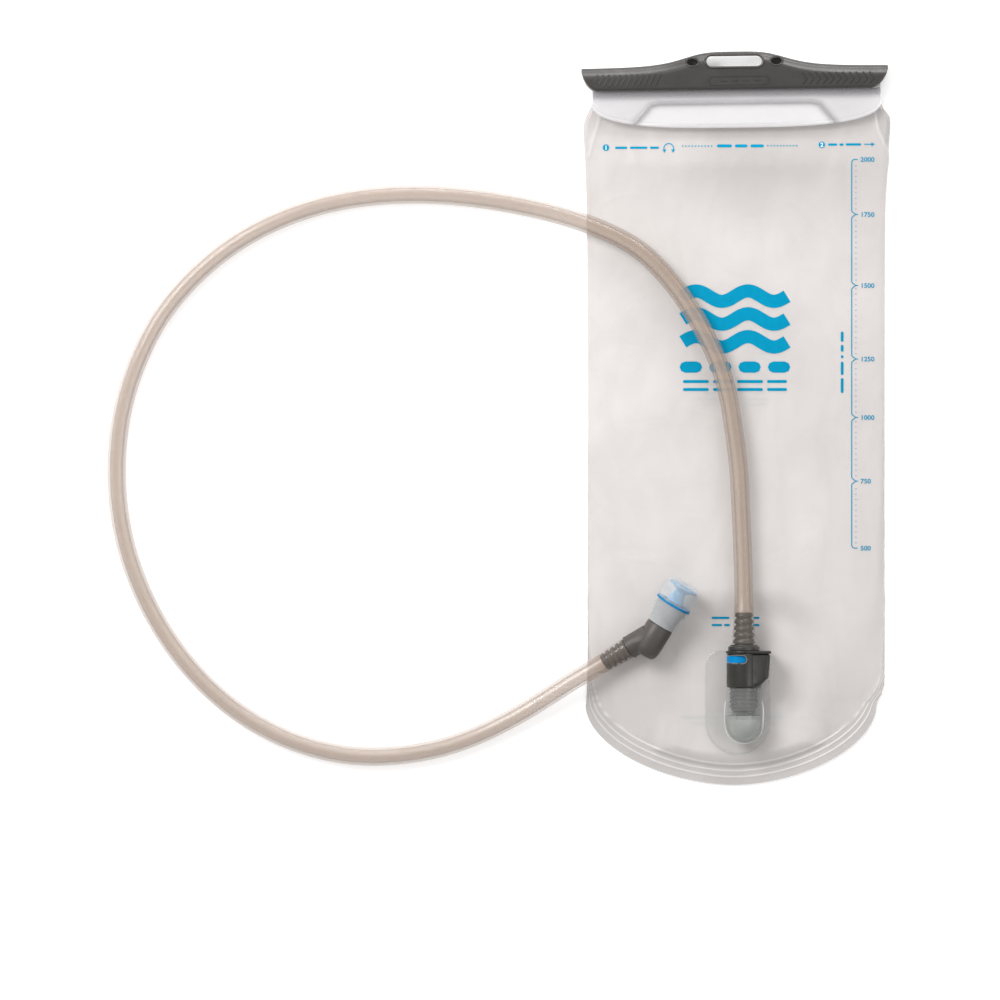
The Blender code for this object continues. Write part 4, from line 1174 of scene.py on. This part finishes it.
def build_button(m):
    """A latch plate: a round finger face, a tongue behind the plug and a slot that lets the plug through."""
    turn = math.asin(BUTTON_FLAT / BUTTON_RADIUS)
    outline = [(-BUTTON_RADIUS * math.cos(a), BUTTON_RADIUS * math.sin(a))
               for a in np.linspace(-turn, turn, 41)]
    outline += [(6, BUTTON_FLAT), (6, -BUTTON_FLAT)]
    button = upright(outline, BUTTON_BOTTOM, BUTTON_TOP, "button", m["button"])
    face = prism(stadium(BUTTON_SLOT[0], BUTTON_SLOT[1] - 0.35, BUTTON_BOTTOM, BUTTON_TOP), -10, 40)
    cut(button, face, None, "INTERSECT")
    tongue = box((AXIS_X, BUTTON_BOTTOM + 0.1, AXIS_Z - TONGUE_HALF),
                 (TONGUE_END, BUTTON_TOP - 0.1, AXIS_Z + TONGUE_HALF))
    cut(button, tongue, None, "UNION")
    clear = SHANK_RADIUS + GAP
    latch = stadium(-clear - BUTTON_TRAVEL, clear, -clear, clear)
    boolean(button, upright(latch, BUTTON_BOTTOM - 2, BUTTON_TOP + 2, "latch_hole", m["button"]))
    return button


def build_coupling(m):
    attach(build_housing(m), "reservoir", "dark_grey", "coupling_body")
    attach(build_button_rim(m), "reservoir", "dark_grey")
    attach(build_stem(m), "reservoir", "dark_grey")
    attach(build_cap(m), "reservoir", "dark_grey", "coupling_cap")
    attach(build_button(m), "button", "blue", "release_button")


RIDGE = ((0.9, 0.0), (0.8, 0.16), (0.05, 0.28), (0.0, 0.36), (0.2, 0.7), (0.8, 0.9))  # inset, share along


def barb(start, length, wide, narrow, ridges=5):
    """The outer side of a hose barb from its shoulder to its tip, each ridge falling towards the tip."""
    points = []
    step = length / ridges
    for i in range(ridges):
        radius = wide + (narrow - wide) * i / (ridges - 1)
        near = start + step * i
        points += [(radius - inset, near + step * share) for inset, share in RIDGE]
    return points


PLUG_COLLAR = ((4.3, -112.85), (6.7, -112.85), (6.9, -113.5), (7.9, -113.9), (7.9, -115.8), (4.2, -115.8))
PLUG_SHANK = (
    (4.2, -118.3), (3.4, -118.3), (3.4, -122.0), (4.2, -122.0), (4.2, -124.6), (3.5, -124.9), (3.5, -130.2),
    (2.3, -130.2), (2.3, -135.1), (1.5, -135.1), (1.5, -96.4),
)


def build_plug(m):
    side = barb(PLUG_SHOULDER, PLUG_BARB, 5.5, 4.6)[::-1]
    profile = [*side, *rounded(PLUG_COLLAR, 0.3)[1:], *PLUG_SHANK]
    attach(finish("hose_plug", turned(profile, 64), m["plug"], MAIN_AXIS), "hose_set", "dark_grey", "plug")


# --- hose

def hose_line():
    """The hose's centreline from the plug's collar to the bite valve's elbow, in millimetres."""
    back = -BRANCH_DIRECTION
    last = BRANCH_SHOULDER + back * 15.6
    middle = [Vector(point) for point in smooth_curve((*HOSE_ROUTE, tuple(last)), 420)]
    start = [Vector((AXIS_X, y, AXIS_Z)) for y in np.linspace(PLUG_SHOULDER + GAP, -97.0, 16)]
    end = [BRANCH_SHOULDER + back * t for t in np.linspace(14.5, GAP, 15)]
    return start + middle + end


def hose_radius(from_plug, from_valve):
    """A little wider over each barb, with a swelling over each of its ridges."""
    radius = HOSE_DIAMETER / 2
    for away, wide, length in ((from_plug, 6.0, PLUG_BARB), (from_valve, 5.7, BRANCH_BARB)):
        grown = (wide - radius) * (1 - smoothstep((away - 0.2 * length) / (1.15 * length)))
        ripple = 0.09 * math.cos(2 * math.pi * away / (length / 5)) * smoothstep((length - away) / 3)
        radius = max(radius, HOSE_DIAMETER / 2 + grown + ripple)
    return radius


def hose_frames(line):
    """Each point of the line with the directions to its side and to its top."""
    made = []
    for i, point in enumerate(line):
        ahead = (line[min(i + 1, len(line) - 1)] - line[max(i - 1, 0)]).normalized()
        across = ahead.cross(Vector((0, 0, 1))).normalized()
        made.append((point, across, across.cross(ahead).normalized()))
    return made


def hose_faces(count):
    """Quads along the outer and the inner wall, and a ring of them at each end."""
    faces = []
    for inner in (False, True):
        base = count * HOSE_SIDES if inner else 0
        for i in range(count - 1):
            low = base + i * HOSE_SIDES
            for side in range(HOSE_SIDES):
                after = (side + 1) % HOSE_SIDES
                quad = (low + side, low + after, low + HOSE_SIDES + after, low + HOSE_SIDES + side)
                faces.append(quad if inner else quad[::-1])
    for i in (0, count - 1):
        for side in range(HOSE_SIDES):
            after = (side + 1) % HOSE_SIDES
            outer, inner = i * HOSE_SIDES, (count + i) * HOSE_SIDES
            quad = (outer + side, outer + after, inner + after, inner + side)
            faces.append(quad if i == 0 else quad[::-1])
    return faces


def build_hose(m):
    """A hollow tube whose stretches over the barbs have thinner, clearer walls."""
    line = hose_line()
    travelled = [0.0]
    for a, b in zip(line, line[1:]):
        travelled.append(travelled[-1] + (b - a).length)
    long = travelled[-1]
    points, wall, sheen = [], [], []
    for bore in (False, True):
        for (point, across, rise), along in zip(hose_frames(line), travelled):
            radius = hose_radius(along, long - along)
            if bore:
                ends = min(along - PLUG_BARB, long - along - BRANCH_BARB)
                radius -= (HOSE_DIAMETER - HOSE_BORE) / 2 - 1.08 * smoothstep(1 - ends / 6)
            for a in np.linspace(0, 2 * math.pi, HOSE_SIDES, endpoint=False):
                side, top = math.cos(a), math.sin(a)
                points.append((point + across * radius * side + rise * radius * top) * MM)
                # painted shade: dark bands where the bore's edges show through and darker sides; painted
                # highlight: a broad bright band left of the top and a thin one right of it
                shadow = 0.85 * hill(abs(side) - 0.66, 0.13) + 0.35 * smoothstep((abs(side) - 0.8) / 0.2)
                light = max(0.9 * hill(side + 0.3, 0.22), 0.5 * hill(side - 0.42, 0.1)) * (top > 0)
                wall.append(0.0 if bore else shadow)
                sheen.append(0.0 if bore else light)
    data = bpy.data.meshes.new("drinking_hose")
    data.from_pydata(points, [], hose_faces(len(line)))
    for key, values in (("wall", wall), ("sheen", sheen)):
        data.attributes.new(key, "FLOAT", "POINT").data.foreach_set("value", np.array(values, np.float32))
    hose = place_object("drinking_hose", data, m["hose"], angle=50)
    data.materials.append(m["grip"])
    spans = len(line) - 1
    for i, face in enumerate(data.polygons):
        along = i // HOSE_SIDES % spans if i < 2 * spans * HOSE_SIDES else 0
        if travelled[along + 1] < PLUG_BARB - 0.6 or long - travelled[along] < BRANCH_BARB - 0.6:
            face.material_index = 1
    attach(hose, "hose_set", "hose_tpu", "hose", "hose_end_plug", "hose_end_valve")
    return hose, [tuple(point * MM) for point in line], long * MM


# --- bite valve

BITE_AXIS = along_axis(BITE_BASE, BITE_DIRECTION)
ELBOW_BODY = (
    (0, 0.2), (4.3, 0.2), (4.5, 0.0), (5.0, 0.05), (5.9, 0.9), (6.5, 2.4), (6.8, 4.2), (6.95, 9.0),
    (6.95, 16.0), (6.7, 16.9), (4.0, 16.9), (4.0, 26), (2.4, 26), (2.4, 17.5), (0, 17.5),
)
ELBOW_BRANCH = (
    (0, -12.0), (5.7, -12.0), (5.8, -3.5), (5.7, -1.2), (5.9, -1.0), (5.9, -0.25), (5.6, 0.0),
    *barb(0, BRANCH_BARB, 5.2, 4.5), (1.9, BRANCH_BARB), (1.9, 2.0), (0, 2.0),
)
SLEEVE = (
    (6.7, 17.2), (6.9, 20.0), (6.9, 20.4), (7.1, 20.8), (8.35, 28.8), (5.8, 28.8), (4.3, 26.5), (4.3, 17.2),
)
RING = ((9.36, 29.0), (9.36, 30.3), (6.2, 30.3), (6.2, 29.0))
CORE = (
    (4.6, 30.8), (3.9, 33.5), (3.2, 34.6), (3.2, 36.4), (4.0, 37.4), (5.6, 38.4), (7.6, 38.9), (7.6, 39.5),
    (5.4, 39.5), (2.6, 39.5), (2.6, 30.8),
)
SHEATH = (
    (7.4, 17.3), (8.0, 21.5), (9.0, 26.5), (9.3, 29.0), (9.25, 31.0), (9.0, 33.5), (8.8, 36.0), (8.7, 38.8),
    (8.4, 40.2), (7.7, 41.1), (6.4, 41.6), (0, 41.7), (0, 40.7), (6.0, 40.7), (7.0, 40.4), (7.7, 39.5),
    (8.1, 36.0), (8.4, 33.5), (8.65, 31.0), (8.75, 29.0), (8.45, 26.5), (7.4, 21.5), (6.95, 17.3),
)


def build_bite_valve(m):
    elbow = finish("valve_elbow", turned(ELBOW_BODY, 72), m["valve"], BITE_AXIS)
    cut(elbow, turned(ELBOW_BRANCH, 64), along_axis(BRANCH_SHOULDER, -BRANCH_DIRECTION), "UNION")
    sleeve = finish("valve_sleeve", turned(SLEEVE, 64), m["sleeve"], BITE_AXIS)
    ring = finish("valve_ring", turned(rounded(RING, 0.3), 64), m["bright_blue"], BITE_AXIS)
    core = finish("valve_heart", turned(CORE, 64), m["pale_blue"], BITE_AXIS)
    sheath = finish("mouthpiece_sheath", turned(SHEATH, 72), m["silicone"], BITE_AXIS)
    cut(sheath, box((-4, -0.25, 40.2), (4, 0.25, 43)), BITE_AXIS)
    attach(elbow, "hose_set", "dark_grey", "bite_elbow")
    attach(sleeve, "mouthpiece", "dark_grey", "shutoff_sleeve")
    attach(ring, "mouthpiece", "blue", "bite_ring")
    attach(core, "mouthpiece", "pale_blue", "valve_core")
    attach(sheath, "mouthpiece", "silicone", "bite_sheath")
    return [elbow, sleeve, ring, core, sheath]


def finish_cad_nodes(m):
    """The internal pieces stay as they are in CAD, with better materials."""
    for name, key in (("poppet", "plug"), ("poppet_seal", "rubber"), ("stem_o_ring", "rubber"),
                      ("plug_o_ring", "rubber"), ("sleeve_o_ring", "rubber"), ("poppet_spring", "steel"),
                      ("button_spring", "steel")):
        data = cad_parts[name].data
        data.materials.clear()
        data.materials.append(m[key])


def main():
    camera()
    stage()
    m = make_materials()
    hose, line, long = build_hose(m)
    build_plug(m)
    valve = build_bite_valve(m)
    build_bag(m)
    build_mouth(m)
    build_port(m)
    build_coupling(m)
    build_scale(m)
    build_marks(m)
    build_motif(m)
    finish_cad_nodes(m)


main()
